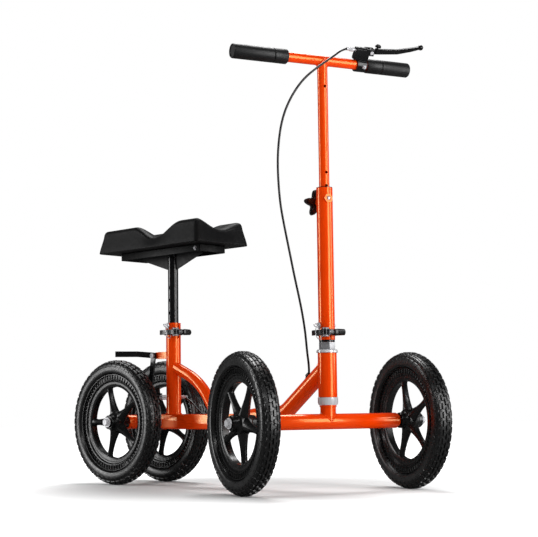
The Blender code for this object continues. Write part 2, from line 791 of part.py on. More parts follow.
def make_cable_stop(frame):
    """Barrel on the seat tube's left flank that the rear housing ends in."""
    wire_hole = bore(WIRE_RADIUS, GAP, ROD_STEPS)
    profile = ((STOP_RADIUS - 0.001, STOP_LENGTH), (STOP_RADIUS, STOP_LENGTH - 0.001),
               (STOP_RADIUS, STOP_FLANGE), (STOP_FLANGE_RADIUS, STOP_FLANGE),
               (STOP_FLANGE_RADIUS, 0.0), (wire_hole, 0.0), (wire_hole, STOP_LENGTH))
    stop_place = (STOP_REAR_X, CABLE_LINE_Y, cable_line_height())
    add_piece("cable_stop", turned("body", profile, ROD_STEPS, ring=True), "zinc", frame,
              stop_place, ALONG_X)


def make_cable_clip(frame):
    """Ring clip that holds the cable on the down tube."""
    along = Vector((math.cos(DOWN_TUBE_SLOPE), 0.0, math.sin(DOWN_TUBE_SLOPE)))
    normal = Vector((-along.z, 0.0, along.x))
    axis_end = Vector(down_tube_path()[-1])
    rise = CLIP_ABOVE_TUBE * math.cos(CLIP_SIDE_ANGLE)
    aside = CLIP_ABOVE_TUBE * math.sin(CLIP_SIDE_ANGLE)
    centre = axis_end - along * CLIP_ALONG + normal * rise + Vector((0.0, aside, 0.0))
    half = CLIP_LENGTH / 2.0
    hole = bore(CABLE_RADIUS, GAP, ROD_STEPS)
    body = ring("body", CLIP_RADIUS, hole, -half, half, ROD_STEPS)
    turn = (0.0, math.radians(90.0) - DOWN_TUBE_SLOPE, 0.0)
    clip = add_piece("cable_clip", body, "black_plastic", frame, centre, turn)
    foot_low = (CABLE_RADIUS + 0.001, -0.004, -half)
    join(clip, block("foot", foot_low, (0.012, 0.004, half)))
    tube = rod("tube_cope", TUBE_RADIUS + GAP, -0.02, 0.02, TUBE_STEPS)
    cut(clip, tube, (rise, -aside, 0.0))


def make_axle_bolt(name, parent, track, side):
    """Hexagon bolt that holds a wheel, its shank in the axle tube."""
    outer = HUB_BOSS_HALF_LENGTH + GAP
    inner = -(outer + AXLE_BORE_DEPTH - 0.001)
    washer = outer + AXLE_WASHER
    profile = ((0.0, washer), (AXLE_WASHER_RADIUS, washer), (AXLE_WASHER_RADIUS, outer),
               (AXLE_BOLT_RADIUS, outer), (AXLE_BOLT_RADIUS, inner), (0.0, inner))
    turn = (math.radians(-90.0 * side), 0.0, 0.0)
    bolt = add_piece(name, turned("body", profile, ROD_STEPS), "zinc", parent,
                     (0.0, side * track / 2.0, 0.0), turn)
    join(bolt, rod("head", AXLE_HEAD_RADIUS, washer - 0.001, washer + AXLE_HEAD, 6))


# Cables

def make_cables(frame, steering):
    """Housings along their real routes, and the bare wire behind the cable stop."""
    drop = WHEEL_RADIUS
    front = [(x, y, z - drop) for x, y, z in cable_path(FRONT_CABLE_ROUTE)]
    add_piece("brake_cable_front", pipe("body", front, CABLE_RADIUS), "black_rubber", steering)
    rear = [(x, y, z - drop) for x, y, z in cable_path(rear_cable_route())]
    add_piece("brake_cable_rear", pipe("body", rear, CABLE_RADIUS), "black_rubber", frame)


def rear_cable_route():
    """The rear route, run on or drawn in along the frame with the wheelbase."""
    stop_x = REAR_CABLE_ROUTE[-1][0]
    reach = REAR_CABLE_ROUTE[0][0] - stop_x
    share = (WHEELBASE - REAR_CABLE_START_BEHIND_HEAD - stop_x) / reach
    return [(stop_x + (x - stop_x) * share, y, z) for x, y, z in REAR_CABLE_ROUTE]


def cable_path(route):
    """A smooth cable path whose first and last legs stay straight, square to what they meet."""
    middle = smooth_path(route[1:-1], 6.0 * CABLE_RADIUS)
    return [Vector(route[0])] + middle + [Vector(route[-1])]


def anchor_rear_x():
    """Rear face of the yoke's cable anchor in the frame."""
    return YOKE_PIVOT_X + YOKE_ARM_FOOT[0] - ANCHOR_THICKNESS / 2.0


def make_wire_and_spring(frame):
    """Bare inner wire from the stop to the yoke, inside the yoke's return spring."""
    nipple = 0.004
    start = anchor_rear_x() - GAP
    length = STOP_REAR_X + STOP_LENGTH - 0.002 - start
    profile = ((0.0, length), (WIRE_RADIUS, length), (WIRE_RADIUS, 0.0), (0.0026, 0.0),
               (0.0026, -nipple), (0.0, -nipple))
    line = (start, CABLE_LINE_Y, cable_line_height())
    add_piece("brake_wire", turned("body", profile, ROD_STEPS), "zinc", frame, line, ALONG_X)

    spring_start = anchor_rear_x() + ANCHOR_THICKNESS + GAP
    spring_end = STOP_REAR_X - GAP
    path = spring_path(spring_end - spring_start)
    report_spring_gap(path)
    spring_place = (spring_start, CABLE_LINE_Y, cable_line_height())
    add_piece("yoke_spring", pipe("body", path, SPRING_WIRE, 1), "zinc", frame, spring_place,
              ALONG_X)


def spring_path(length):
    """Centre line of the spring, its two ends run straight into what they press on."""
    points_per_turn = 8
    straight = 2.0 * SPRING_WIRE
    count = SPRING_TURNS * points_per_turn
    points = [Vector((SPRING_RADIUS, 0.0, 0.0))]
    for step in range(count + 1):
        angle = 2.0 * math.pi * step / points_per_turn
        height = straight + (length - 2.0 * straight) * step / count
        points.append(Vector((SPRING_RADIUS * math.cos(angle), SPRING_RADIUS * math.sin(angle),
                              height)))
    points.append(Vector((SPRING_RADIUS, 0.0, length)))
    return points


def report_spring_gap(path):
    """Print the least gap between one curl of the spring and the next."""
    least = 1.0
    for index, point in enumerate(path):
        for other in path[index + 6:]:
            least = min(least, (point - other).length - 2.0 * SPRING_WIRE)
    print("Least gap between spring curls: %.2f mm" % (least * 1000.0))


# Seat

def make_seat_post(frame):
    """Post with cross holes and the gusset that carries the pad tray."""
    tray_top = TRAY_BOTTOM + TRAY_DEPTH
    top = tray_top - TRAY_SHEET - GAP
    inner = POST_RADIUS - POST_WALL
    body = ring("body", POST_RADIUS, inner, POST_BOTTOM, top, TUBE_STEPS)
    post = add_piece("seat_post", body, "black_paint", frame, (SEAT_X, 0.0, 0.0))
    holes = row_of_rods(POST_HOLE_STEP, -POST_HOLE_COUNT_EACH_WAY, POST_HOLE_COUNT_EACH_WAY,
                        bore(PIN_RADIUS, HOLE_FIT, HOLE_STEPS), -0.02, 0.02, 1)
    cut(post, holes, (0.0, 0.0, seat_pin_height()))
    rear = GUSSET_REAR_X - SEAT_X
    front = GUSSET_FRONT_X - SEAT_X
    edge = top - GUSSET_EDGE_DEPTH
    foot = top - GUSSET_FOOT_DEPTH
    outline = [(rear, top), (rear, edge), (-POST_RADIUS + 0.001, foot),
               (POST_RADIUS - 0.001, foot), (front, edge), (front, top)]
    join(post, plate("gusset", outline, GUSSET_THICKNESS), rotation=ON_EDGE)


def row_of_rods(step, first, last, radius, start, end, axis):
    """A column of crosswise rods, one mesh, along X when axis is 0 or along Y when it is 1."""
    work = bmesh.new()
    lay = Matrix.Rotation(math.radians(90.0), 4, "Y" if axis == 0 else "X")
    for number in range(first, last + 1):
        middle = (start + end) / 2.0
        place = Vector((middle, 0.0, step * number)) if axis == 0 else Vector(
            (0.0, middle, step * number))
        bmesh.ops.create_cone(work, cap_ends=True, segments=HOLE_STEPS, radius1=radius,
                              radius2=radius, depth=end - start,
                              matrix=Matrix.Translation(place) @ lay)
    mesh = bpy.data.meshes.new("hole_row")
    work.to_mesh(mesh)
    work.free()
    return mesh


def make_pad_tray(frame):
    """Folded steel tray under the knee pad, open below."""
    half = TRAY_WIDTH / 2.0
    front = TRAY_REAR_X + TRAY_LENGTH
    top = TRAY_BOTTOM + TRAY_DEPTH
    outside = block("outside", (TRAY_REAR_X, -half, TRAY_BOTTOM), (front, half, top), 0.003, 2)
    tray = add_piece("pad_tray", outside, "black_paint", frame)
    wall = TRAY_SHEET
    hollow_low = (TRAY_REAR_X + wall, -half + wall, TRAY_BOTTOM - 0.01)
    hollow_high = (front - wall, half - wall, top - wall)
    cut(tray, block("hollow", hollow_low, hollow_high, 0.002, 2))


def pad_top(x, y):
    """Height of the pad's top above its base: two humps with a dip and a channel."""
    along = min(abs(x - PAD_DIP_X) / PAD_DIP_HALF_LENGTH, 1.0)
    dip = math.cos(along * math.pi / 2.0) ** 2
    across = min(abs(y) / PAD_CHANNEL_HALF_WIDTH, 1.0)
    channel = math.cos(across * math.pi / 2.0) ** 2
    return PAD_HEIGHT - PAD_DIP_DEPTH * dip - PAD_CHANNEL_DEPTH * channel * (1.0 - 0.6 * dip)


def rounded_place(u, v, half_length, half_width, corner):
    """Map a point of the square -1..1 onto a rectangle with rounded corners."""
    x = u * half_length
    y = v * half_width
    over_x = abs(x) - (half_length - corner)
    over_y = abs(y) - (half_width - corner)
    if over_x > 0.0 and over_y > 0.0:
        reach = math.hypot(over_x, over_y)
        share = max(over_x, over_y) / reach
        x = math.copysign(half_length - corner + over_x * share, x)
        y = math.copysign(half_width - corner + over_y * share, y)
    return x, y


def make_knee_pad(frame):
    """Stuffed pad with crowned humps, drawn-in sides and a channel along its middle."""
    work = bmesh.new()
    bmesh.ops.create_cube(work, size=2.0)
    for axis, cuts in ((0, 17), (1, 9), (2, 3)):
        edges = [edge for edge in work.edges if runs_along(edge, axis)]
        bmesh.ops.subdivide_edges(work, edges=edges, cuts=cuts, use_grid_fill=True)
    for vertex in work.verts:
        shape_pad_vertex(vertex)
    mesh = bpy.data.meshes.new("pad_body")
    work.to_mesh(mesh)
    work.free()
    base = TRAY_BOTTOM + TRAY_DEPTH + GAP
    add_piece("knee_pad", shade(mesh), "black_vinyl", frame, (0.0, 0.0, base))


def shape_pad_vertex(vertex):
    """Move one vertex of the unit cube to its place on the pad."""
    u, v, w = vertex.co
    rise = (w + 1.0) / 2.0
    edge = max(abs(u), abs(v))
    draw_in = PAD_DRAW_IN * math.sin(rise * math.pi / 2.0) ** 2
    x, y = rounded_place(u, v, PAD_LENGTH / 2.0 - draw_in, PAD_WIDTH / 2.0 - draw_in, PAD_CORNER)
    x += PAD_CENTRE_X
    roll = PAD_EDGE_ROUND * max(0.0, (edge - 0.8) / 0.2) ** 2 if w > 0.99 else 0.0
    height = (pad_top(x, y) - roll) * rise
    vertex.co = (x, y, height)


# Locking pins and clamps

def make_pin(name, parent, location, tube_radius):
    """Locking pin with a ring to pull it by; it draws out towards the rider's right."""
    head = -(tube_radius + GAP)
    tip = tube_radius + 0.004
    profile = ((0.0, tip), (PIN_RADIUS - 0.0008, tip), (PIN_RADIUS, tip - 0.0015),
               (PIN_RADIUS, head), (0.0054, head), (0.0054, head - 0.0022),
               (0.0, head - 0.0022))
    pin = add_piece(name, turned("body", profile, ROD_STEPS), "chrome", parent, location,
                    ALONG_Y)
    loop = [(0.0062 + 0.0011 * math.cos(angle), head - 0.0018 + 0.0011 * math.sin(angle))
            for angle in (math.radians(90.0 * step) for step in range(4, 0, -1))]
    join(pin, turned("pull_ring", loop, HUB_STEPS, ring=True))


def make_clamp(prefix, carrier, location, tube_radius):
    """Slotted collar, skewer with a fork head, cam lever and thumb nut round a tube."""
    half = CLAMP_HEIGHT / 2.0
    outer = tube_radius + GAP + CLAMP_WALL
    body = ring("body", outer, bore(tube_radius, GAP, TUBE_STEPS), -half, half, TUBE_STEPS)
    collar = add_piece(prefix + "_clamp_collar", body, "black_plastic", carrier, location)
    ears = block("ears", (tube_radius + 0.0015, -CLAMP_EAR_SPREAD, -half),
                 (CLAMP_EAR_REACH, CLAMP_EAR_SPREAD, half), 0.002, 1)
    join(collar, ears)
    slit = block("slit", (tube_radius - 0.003, -CLAMP_SLIT, -half - 0.005),
                 (CLAMP_EAR_REACH + 0.005, CLAMP_SLIT, half + 0.005))
    cut(collar, slit)
    hole = bore(SKEWER_RADIUS, HOLE_FIT, ROD_STEPS)
    cut(collar, rod("skewer_hole", hole, -0.02, 0.02), (SKEWER_X, 0.0, 0.0), ALONG_Y)
    make_skewer(prefix, carrier, location)
    make_cam_lever(prefix, carrier, location)
    make_thumb_nut(prefix, carrier, location)


def make_skewer(prefix, carrier, location):
    """Skewer across the ears, with a washer and a fork that holds the cam pin."""
    washer = -(CLAMP_EAR_SPREAD + GAP)
    fork_top = washer - SKEWER_WASHER
    end = CLAMP_EAR_SPREAD + THUMB_NUT_LENGTH - 0.001
    profile = ((0.0, end), (SKEWER_RADIUS - 0.0005, end), (SKEWER_RADIUS, end - 0.0008),
               (SKEWER_RADIUS, washer), (SKEWER_WASHER_RADIUS, washer),
               (SKEWER_WASHER_RADIUS, fork_top - 0.0005), (0.0, fork_top - 0.0005))
    place = Vector(location) + Vector((SKEWER_X, 0.0, 0.0))
    skewer = add_piece(prefix + "_clamp_skewer", turned("body", profile, ROD_STEPS), "chrome",
                       carrier, place, ALONG_Y)
    length, depth, height = FORK_SIZE
    low = (-length / 2.0, -height / 2.0, fork_top - depth)
    high = (length / 2.0, height / 2.0, fork_top)
    join(skewer, block("fork", low, high, 0.0035, 1))
    slot = LEVER_BLADE_HEIGHT / 2.0 + GAP
    slot_low = (-length, -slot, fork_top - depth - 0.005)
    cut(skewer, block("slot", slot_low, (length, slot, fork_top - FORK_WEB)))
    cam_y = cam_pin_y()
    join(skewer, rod("cam_pin", CAM_PIN_RADIUS, -height / 2.0 + 0.001, height / 2.0 - 0.001),
         (0.0, 0.0, cam_y), ON_EDGE)


def cam_pin_y():
    """Sideways place of a clamp's cam pin, clear of its fork's web."""
    fork_top = -(CLAMP_EAR_SPREAD + GAP + SKEWER_WASHER)
    return fork_top - FORK_WEB - GAP - CAM_RADIUS


def make_cam_lever(prefix, carrier, location):
    """Cam with a blade that lies along the tube when it is closed."""
    place = Vector(location) + Vector((SKEWER_X, cam_pin_y(), 0.0))
    tail = -LEVER_BLADE_TAIL
    half = LEVER_BLADE_THICKNESS / 2.0
    route = ((-0.001, -0.002), (-0.012, -0.0052), (-0.026, -0.0068), (-0.040, -0.0072),
             (tail, -0.0062))
    outline = ribbon(route, (0.0030, half, half, half, half * 0.6))
    body = plate("body", outline, LEVER_BLADE_HEIGHT)
    lever = add_piece(prefix + "_clamp_lever", body, "black_plastic", carrier, place)
    half_height = LEVER_BLADE_HEIGHT / 2.0
    join(lever, rod("cam", CAM_RADIUS, -half_height, half_height, HUB_STEPS))
    hole = bore(CAM_PIN_RADIUS, GAP, ROD_STEPS)
    cut(lever, rod("pin_hole", hole, -0.02, 0.02))


def make_thumb_nut(prefix, carrier, location):
    """Ribbed thumb nut on the skewer's far end."""
    start = CLAMP_EAR_SPREAD + GAP
    work = bmesh.new()
    steps = 2 * THUMB_NUT_RIBS
    middle = Matrix.Translation((0.0, 0.0, start + THUMB_NUT_LENGTH / 2.0))
    bmesh.ops.create_cone(work, cap_ends=True, segments=steps, radius1=THUMB_NUT_RADIUS,
                          radius2=THUMB_NUT_RADIUS * 0.9, depth=THUMB_NUT_LENGTH, matrix=middle)
    for vertex in work.verts:
        angle = math.atan2(vertex.co.y, vertex.co.x)
        groove = round(angle / (2.0 * math.pi) * steps) % 2
        vertex.co.xy *= 1.0 - 0.09 * groove
    mesh = bpy.data.meshes.new("body")
    work.to_mesh(mesh)
    work.free()
    place = Vector(location) + Vector((SKEWER_X, 0.0, 0.0))
    nut = add_piece(prefix + "_clamp_nut", shade(mesh), "black_plastic", carrier, place, ALONG_Y)
    hole = bore(SKEWER_RADIUS, GAP, ROD_STEPS)
    cut(nut, rod("thread", hole, start - 0.01, start + THUMB_NUT_LENGTH + 0.01))


# Steering and column

def headset_stack():
    """Heights of the locknut, the spacer and the column foot, stacked with gaps."""
    nut = HEAD_BOTTOM + HEAD_LENGTH + GAP + TOP_CUP_HEIGHT + GAP
    spacer = nut + LOCKNUT_HEIGHT + GAP
    foot = spacer + SPACER_HEIGHT + GAP
    return nut, spacer, foot


def make_steering(steering):
    """Front axle, steerer, locknut and spacer."""
    half = axle_half_length(FRONT_TRACK)
    add_piece("front_axle_tube", axle_tube_mesh(half, 0.004), "orange_paint", steering,
              rotation=ALONG_Y)
    race_top = HEAD_BOTTOM - GAP - CUP_HEIGHT - GAP
    race_bottom = race_top - RACE_HEIGHT
    outer = STEERER_RADIUS
    profile = ((outer - 0.0006, STEERER_TOP), (outer, STEERER_TOP - 0.001), (outer, race_top),
               (RACE_RADIUS, race_top), (RACE_RADIUS, race_bottom), (STEM_RADIUS, race_bottom),
               (STEM_RADIUS, 0.006), (0.0, 0.006))
    bore_profile = ((0.0, STEERER_BORE_BOTTOM), (STEERER_BORE_RADIUS, STEERER_BORE_BOTTOM),
                    (STEERER_BORE_RADIUS, STEERER_TOP))
    steerer = add_piece("steerer_tube", turned("body", bore_profile + profile, TUBE_STEPS),
                        "orange_paint", steering)
    axle = rod("axle_cope", AXLE_TUBE_RADIUS + GAP, -0.05, 0.05, TUBE_STEPS)
    cut(steerer, axle, rotation=ALONG_Y)
    nut, spacer, foot = headset_stack()
    hole = bore(STEERER_RADIUS, GAP, TUBE_STEPS)
    cut(steerer, pin_hole(TUBE_RADIUS), (0.0, 0.0, foot + COLUMN_PIN_ABOVE_FOOT), ALONG_Y)
    locknut = add_piece("headset_locknut", rod("body", LOCKNUT_RADIUS, nut, nut + LOCKNUT_HEIGHT, 6),
                        "chrome", steering)
    cut(locknut, rod("thread", hole, nut - 0.01, nut + LOCKNUT_HEIGHT + 0.01, TUBE_STEPS))
    add_piece("headset_spacer", ring("body", SPACER_RADIUS, hole, spacer, spacer + SPACER_HEIGHT,
                                     TUBE_STEPS), "black_plastic", steering)


def make_column(steering):
    """Outer column over the steerer, with its two bosses, bushing, clamp and pin."""
    foot = headset_stack()[2]
    top = foot + COLUMN_LENGTH
    body = ring("body", TUBE_RADIUS, COLUMN_BORE_RADIUS, foot, top, TUBE_STEPS)
    column = add_piece("outer_column", body, "orange_paint", steering)
    plunger = top - PLUNGER_BELOW_TOP
    knob = top - KNOB_BELOW_TOP
    wall = COLUMN_BORE_RADIUS + 0.0012
    join(column, rod("front_boss", PLUNGER_BOSS_RADIUS, wall, PLUNGER_BOSS_REACH, HUB_STEPS),
         (0.0, 0.0, plunger), ALONG_X)
    join(column, rod("back_boss", KNOB_BOSS_RADIUS, -KNOB_BOSS_REACH, -wall, HUB_STEPS),
         (0.0, 0.0, knob), ALONG_X)
    plunger_hole = bore(PLUNGER_RADIUS, GAP, ROD_STEPS)
    cut(column, rod("plunger_hole", plunger_hole, 0.008, 0.030), (0.0, 0.0, plunger), ALONG_X)
    stud_hole = bore(KNOB_STUD_RADIUS, GAP, ROD_STEPS)
    cut(column, rod("stud_hole", stud_hole, -0.040, -0.008), (0.0, 0.0, knob), ALONG_X)
    cut(column, pin_hole(TUBE_RADIUS), (0.0, 0.0, foot + COLUMN_PIN_ABOVE_FOOT), ALONG_Y)
    slot_low = (0.0, -SLOT_WIDTH / 2.0, foot - 0.01)
    cut(column, block("slot", slot_low, (0.03, SLOT_WIDTH / 2.0, foot + COLUMN_FOOT_SLOT)))

    bushing_top = top - 2.0 * GAP
    bushing = ring("body", COLUMN_BORE_RADIUS - GAP,
                   bore(INNER_COLUMN_RADIUS, SLIDE_FIT, TUBE_STEPS),
                   bushing_top - COLUMN_BUSHING_LENGTH, bushing_top, TUBE_STEPS)
    add_piece("column_bushing", bushing, "black_plastic", steering)
    make_clamp("column", steering, (0.0, 0.0, foot + COLUMN_CLAMP_ABOVE_FOOT), TUBE_RADIUS)
    make_pin("column_pin", steering, (0.0, 0.0, foot + COLUMN_PIN_ABOVE_FOOT), TUBE_RADIUS)
    make_star_knob(steering, knob)
    make_plunger(steering, plunger)


def make_star_knob(steering, height):
    """Five-lobed knob on a stud that presses on the inner column."""
    work = bmesh.new()
    face = -(KNOB_BOSS_REACH + GAP)
    middle = Matrix.Translation((0.0, 0.0, face - KNOB_THICKNESS / 2.0))
    bmesh.ops.create_cone(work, cap_ends=True, segments=8 * KNOB_LOBES, radius1=KNOB_RADIUS,
                          radius2=KNOB_RADIUS, depth=KNOB_THICKNESS, matrix=middle)
    rims = [edge for edge in work.edges if abs(edge.verts[0].co.z - edge.verts[1].co.z) < MERGE]
    bmesh.ops.bevel(work, geom=rims, offset=0.002, segments=1, affect="EDGES")
    for vertex in work.verts:
        angle = math.atan2(vertex.co.y, vertex.co.x)
        lobe = KNOB_LOBE * math.cos(KNOB_LOBES * angle) / KNOB_RADIUS
        vertex.co.xy *= 1.0 + lobe
    mesh = bpy.data.meshes.new("body")
    work.to_mesh(mesh)
    work.free()
    knob = add_piece("star_knob", shade(mesh), "black_plastic", steering, (0.0, 0.0, height),
                     ALONG_X)
    tip = -(INNER_COLUMN_RADIUS + GAP)
    join(knob, rod("stud", KNOB_STUD_RADIUS, face - 0.002, tip))


def make_plunger(steering, height):
    """Domed spring plunger whose tip sits in a height hole of the inner column."""
    shoulder = INNER_COLUMN_RADIUS + 2.0 * GAP
    head = PLUNGER_BOSS_REACH - 0.0005
    tip = INNER_COLUMN_RADIUS - INNER_COLUMN_WALL
    profile = ((0.0, head + PLUNGER_HEAD), (PLUNGER_RADIUS * 0.6, head + PLUNGER_HEAD * 0.8),
               (PLUNGER_RADIUS, head), (PLUNGER_RADIUS, shoulder + 0.002),
               (PLUNGER_TIP_RADIUS, shoulder), (PLUNGER_TIP_RADIUS, tip), (0.0, tip))
    add_piece("snap_plunger", turned("body", profile, ROD_STEPS), "chrome", steering,
              (0.0, 0.0, height), ALONG_X)


# Handlebar

def make_handlebar(bar):
    """Inner column, bar, grips and the brake lever's bracket, about the bar's axis."""
    bottom = INNER_COLUMN_BOTTOM - BAR_HEIGHT
    inner = INNER_COLUMN_RADIUS - INNER_COLUMN_WALL
    body = ring("body", INNER_COLUMN_RADIUS, inner, bottom, -INNER_COLUMN_TOP_BELOW_BAR, TUBE_STEPS)
    column = add_piece("inner_column", body, "orange_paint", bar)
    bar_cope = rod("bar_cope", BAR_RADIUS + GAP, -0.03, 0.03, TUBE_STEPS)
    cut(column, bar_cope, rotation=ALONG_Y)
    plunger = headset_stack()[2] + COLUMN_LENGTH - PLUNGER_BELOW_TOP - BAR_HEIGHT
    hole = bore(PLUNGER_TIP_RADIUS, HOLE_FIT, HOLE_STEPS)
    holes = row_of_rods(HEIGHT_HOLE_STEP, -HEIGHT_HOLE_COUNT_BELOW, HEIGHT_HOLE_COUNT_ABOVE, hole,
                        0.006, 0.014, 0)
    cut(column, holes, (0.0, 0.0, plunger))
    upper_hole = rod("upper_hole", hole, 0.006, 0.014, HOLE_STEPS)
    cut(column, upper_hole, (0.0, 0.0, -UPPER_HOLE_BELOW_BAR), ALONG_X)

    tube = ring("body", BAR_RADIUS, BAR_RADIUS - BAR_WALL, -BAR_HALF_LENGTH, BAR_HALF_LENGTH,
                TUBE_STEPS)
    add_piece("handlebar", tube, "orange_paint", bar, rotation=ALONG_Y)
    make_grip("grip_right", bar, -1, RIGHT_GRIP_LENGTH, RIGHT_GROOVE_FROM_INNER)
    make_grip("grip_left", bar, 1, LEFT_GRIP_LENGTH, LEFT_GROOVE_FROM_INNER)


def make_grip(name, bar, side, length, groove):
    """Moulded grip closed at its outer end, with a groove and a recessed cap."""
    outer = BAR_HALF_LENGTH + GRIP_CAP
    inner = outer - length
    hole = bore(BAR_RADIUS, GAP, TUBE_STEPS)
    line = inner + groove
    radius = GRIP_RADIUS
    profile = ((0.0, outer - 0.0015), (radius - 0.005, outer - 0.0015), (radius - 0.004, outer),
               (radius - 0.0012, outer), (radius, outer - 0.002),
               (radius, line + 0.0015), (radius - GRIP_GROOVE, line), (radius, line - 0.0015),
               (radius, inner + 0.002), (radius - 0.0015, inner), (hole, inner),
               (hole, BAR_HALF_LENGTH + GAP), (0.0, BAR_HALF_LENGTH + GAP))
    turn = (math.radians(-90.0 * side), 0.0, 0.0)
    add_piece(name, turned("body", profile, TUBE_STEPS), "black_rubber", bar, rotation=turn)


def make_lever_set(bar):
    """Bracket, barrel adjuster, pivot, lever and parking-lock button in the lever's plane."""
    plane = new_empty("lever_plane", bar, rotation=(0.0, -LEVER_TILT, 0.0))
    collar = ring("body", BRACKET_COLLAR_RADIUS, bore(BAR_RADIUS, GAP, TUBE_STEPS),
                  BRACKET_COLLAR_START, BRACKET_OUTER_END, TUBE_STEPS)
    bracket = add_piece("lever_bracket", collar, "black_plastic", plane, rotation=ALONG_Y)
    depth = BRACKET_HALF_DEPTH
    housing = block("housing", (0.0135, -depth, BRACKET_INNER_END),
                    (BRACKET_REACH, depth, BRACKET_OUTER_END), 0.003, 2)
    join(bracket, housing)
    lugs_low = (PIVOT_OUT - 0.008, -depth, BRACKET_OUTER_END - 0.010)
    lugs_high = (PIVOT_OUT + 0.007, depth, PIVOT_ALONG + 0.007)
    join(bracket, block("lugs", lugs_low, lugs_high))
    slot = LEVER_THICKNESS / 2.0 + GAP
    slot_low = (PIVOT_OUT - 0.0095, -slot, PIVOT_ALONG - LEVER_EYE_RADIUS - 0.001)
    cut(bracket, block("slot", slot_low, (PIVOT_OUT + 0.02, slot, PIVOT_ALONG + 0.02)))
    pin_place = (PIVOT_OUT, 0.0, PIVOT_ALONG)
    pin_hole_radius = bore(LEVER_PIN_RADIUS, GAP, ROD_STEPS)
    cut(bracket, rod("pivot_hole", pin_hole_radius, -0.02, 0.02), pin_place, ON_EDGE)
    wire_way = rod("wire_way", 0.0028, BRACKET_INNER_END - 0.01, BRACKET_INNER_END + 0.012)
    cut(bracket, wire_way, (PIVOT_OUT, 0.0, 0.0))

    end = BRACKET_INNER_END + 0.006
    start = BRACKET_INNER_END - ADJUSTER_LENGTH
    neck = bore(WIRE_RADIUS, GAP, ROD_STEPS)
    adjuster = ((0.0023, end), (0.0023, BRACKET_INNER_END - 0.006),
                (ADJUSTER_RADIUS, BRACKET_INNER_END - 0.006), (ADJUSTER_RADIUS, start + 0.009),
                (0.0036, start + 0.007), (0.0036, start), (neck, start), (neck, end))
    add_piece("barrel_adjuster", turned("body", adjuster, ROD_STEPS, ring=True), "black_plastic",
              plane, (PIVOT_OUT, 0.0, 0.0), ALONG_Y)

    pivot_place = (PIVOT_OUT, PIVOT_ALONG, 0.0)
    face = BRACKET_HALF_DEPTH + GAP
    pivot = ((0.0, face + 0.0018), (0.0035, face + 0.0018), (0.0043, face + 0.0008),
             (0.0043, face), (LEVER_PIN_RADIUS, face), (LEVER_PIN_RADIUS, -face),
             (0.0043, -face), (0.0043, -face - 0.002), (0.0, -face - 0.002))
    add_piece("lever_pivot", turned("body", pivot, ROD_STEPS), "zinc", plane, pivot_place)
    make_brake_lever(plane, pivot_place)


def make_brake_lever(plane, pivot_place):
    """Lever blade with a ball end, and the lock button that rides in it."""
    route = [(out - PIVOT_OUT, along - PIVOT_ALONG) for along, out in LEVER_ROUTE]
    half = LEVER_WIDTH / 2.0
    outline = ribbon(route, (half * 0.9, half, half * 0.9, half * 0.75, half * 0.55))
    lever = add_piece("brake_lever", plate("body", outline, LEVER_THICKNESS), "black_plastic",
                      plane, pivot_place)
    half_thickness = LEVER_THICKNESS / 2.0
    join(lever, rod("eye", LEVER_EYE_RADIUS, -half_thickness, half_thickness, HUB_STEPS))
    ball = bmesh.new()
    bmesh.ops.create_uvsphere(ball, u_segments=12, v_segments=8, radius=LEVER_BALL_RADIUS)
    ball_mesh = bpy.data.meshes.new("ball")
    ball.to_mesh(ball_mesh)
    ball.free()
    ball_place = (LEVER_BALL[1] - PIVOT_OUT, LEVER_BALL[0] - PIVOT_ALONG, 0.0)
    join(lever, shade(ball_mesh), ball_place)
    boss_top = PIVOT_OUT + LOCK_BOSS_TOP
    button_line = (-PIVOT_OUT, LOCK_BUTTON_ALONG - PIVOT_ALONG, 0.0)
    boss = rod("button_boss", LOCK_BOSS_RADIUS, PIVOT_OUT - 0.003, boss_top)
    join(lever, boss, button_line, ALONG_X)
    stem_hole = bore(LOCK_STEM_RADIUS, GAP, ROD_STEPS)
    cut(lever, rod("stem_hole", stem_hole, PIVOT_OUT - 0.020, boss_top + 0.02), button_line,
        ALONG_X)
    eye_hole = bore(LEVER_PIN_RADIUS, TURN_FIT, ROD_STEPS)
    cut(lever, rod("eye_hole", eye_hole, -0.02, 0.02))

    rest = boss_top + GAP + LOCK_BUTTON_TRAVEL
    radius = LOCK_BUTTON_RADIUS
    button = ((0.0, rest + LOCK_BUTTON_HEAD), (radius * 0.7, rest + LOCK_BUTTON_HEAD),
              (radius, rest + LOCK_BUTTON_HEAD * 0.6), (radius, rest), (LOCK_STEM_RADIUS, rest),
              (LOCK_STEM_RADIUS, PIVOT_OUT), (0.0, PIVOT_OUT))
    add_piece("lock_button", turned("body", button, ROD_STEPS), "black_plastic", plane,
              (0.0, LOCK_BUTTON_ALONG, 0.0), ALONG_X)


# Rear brake yoke

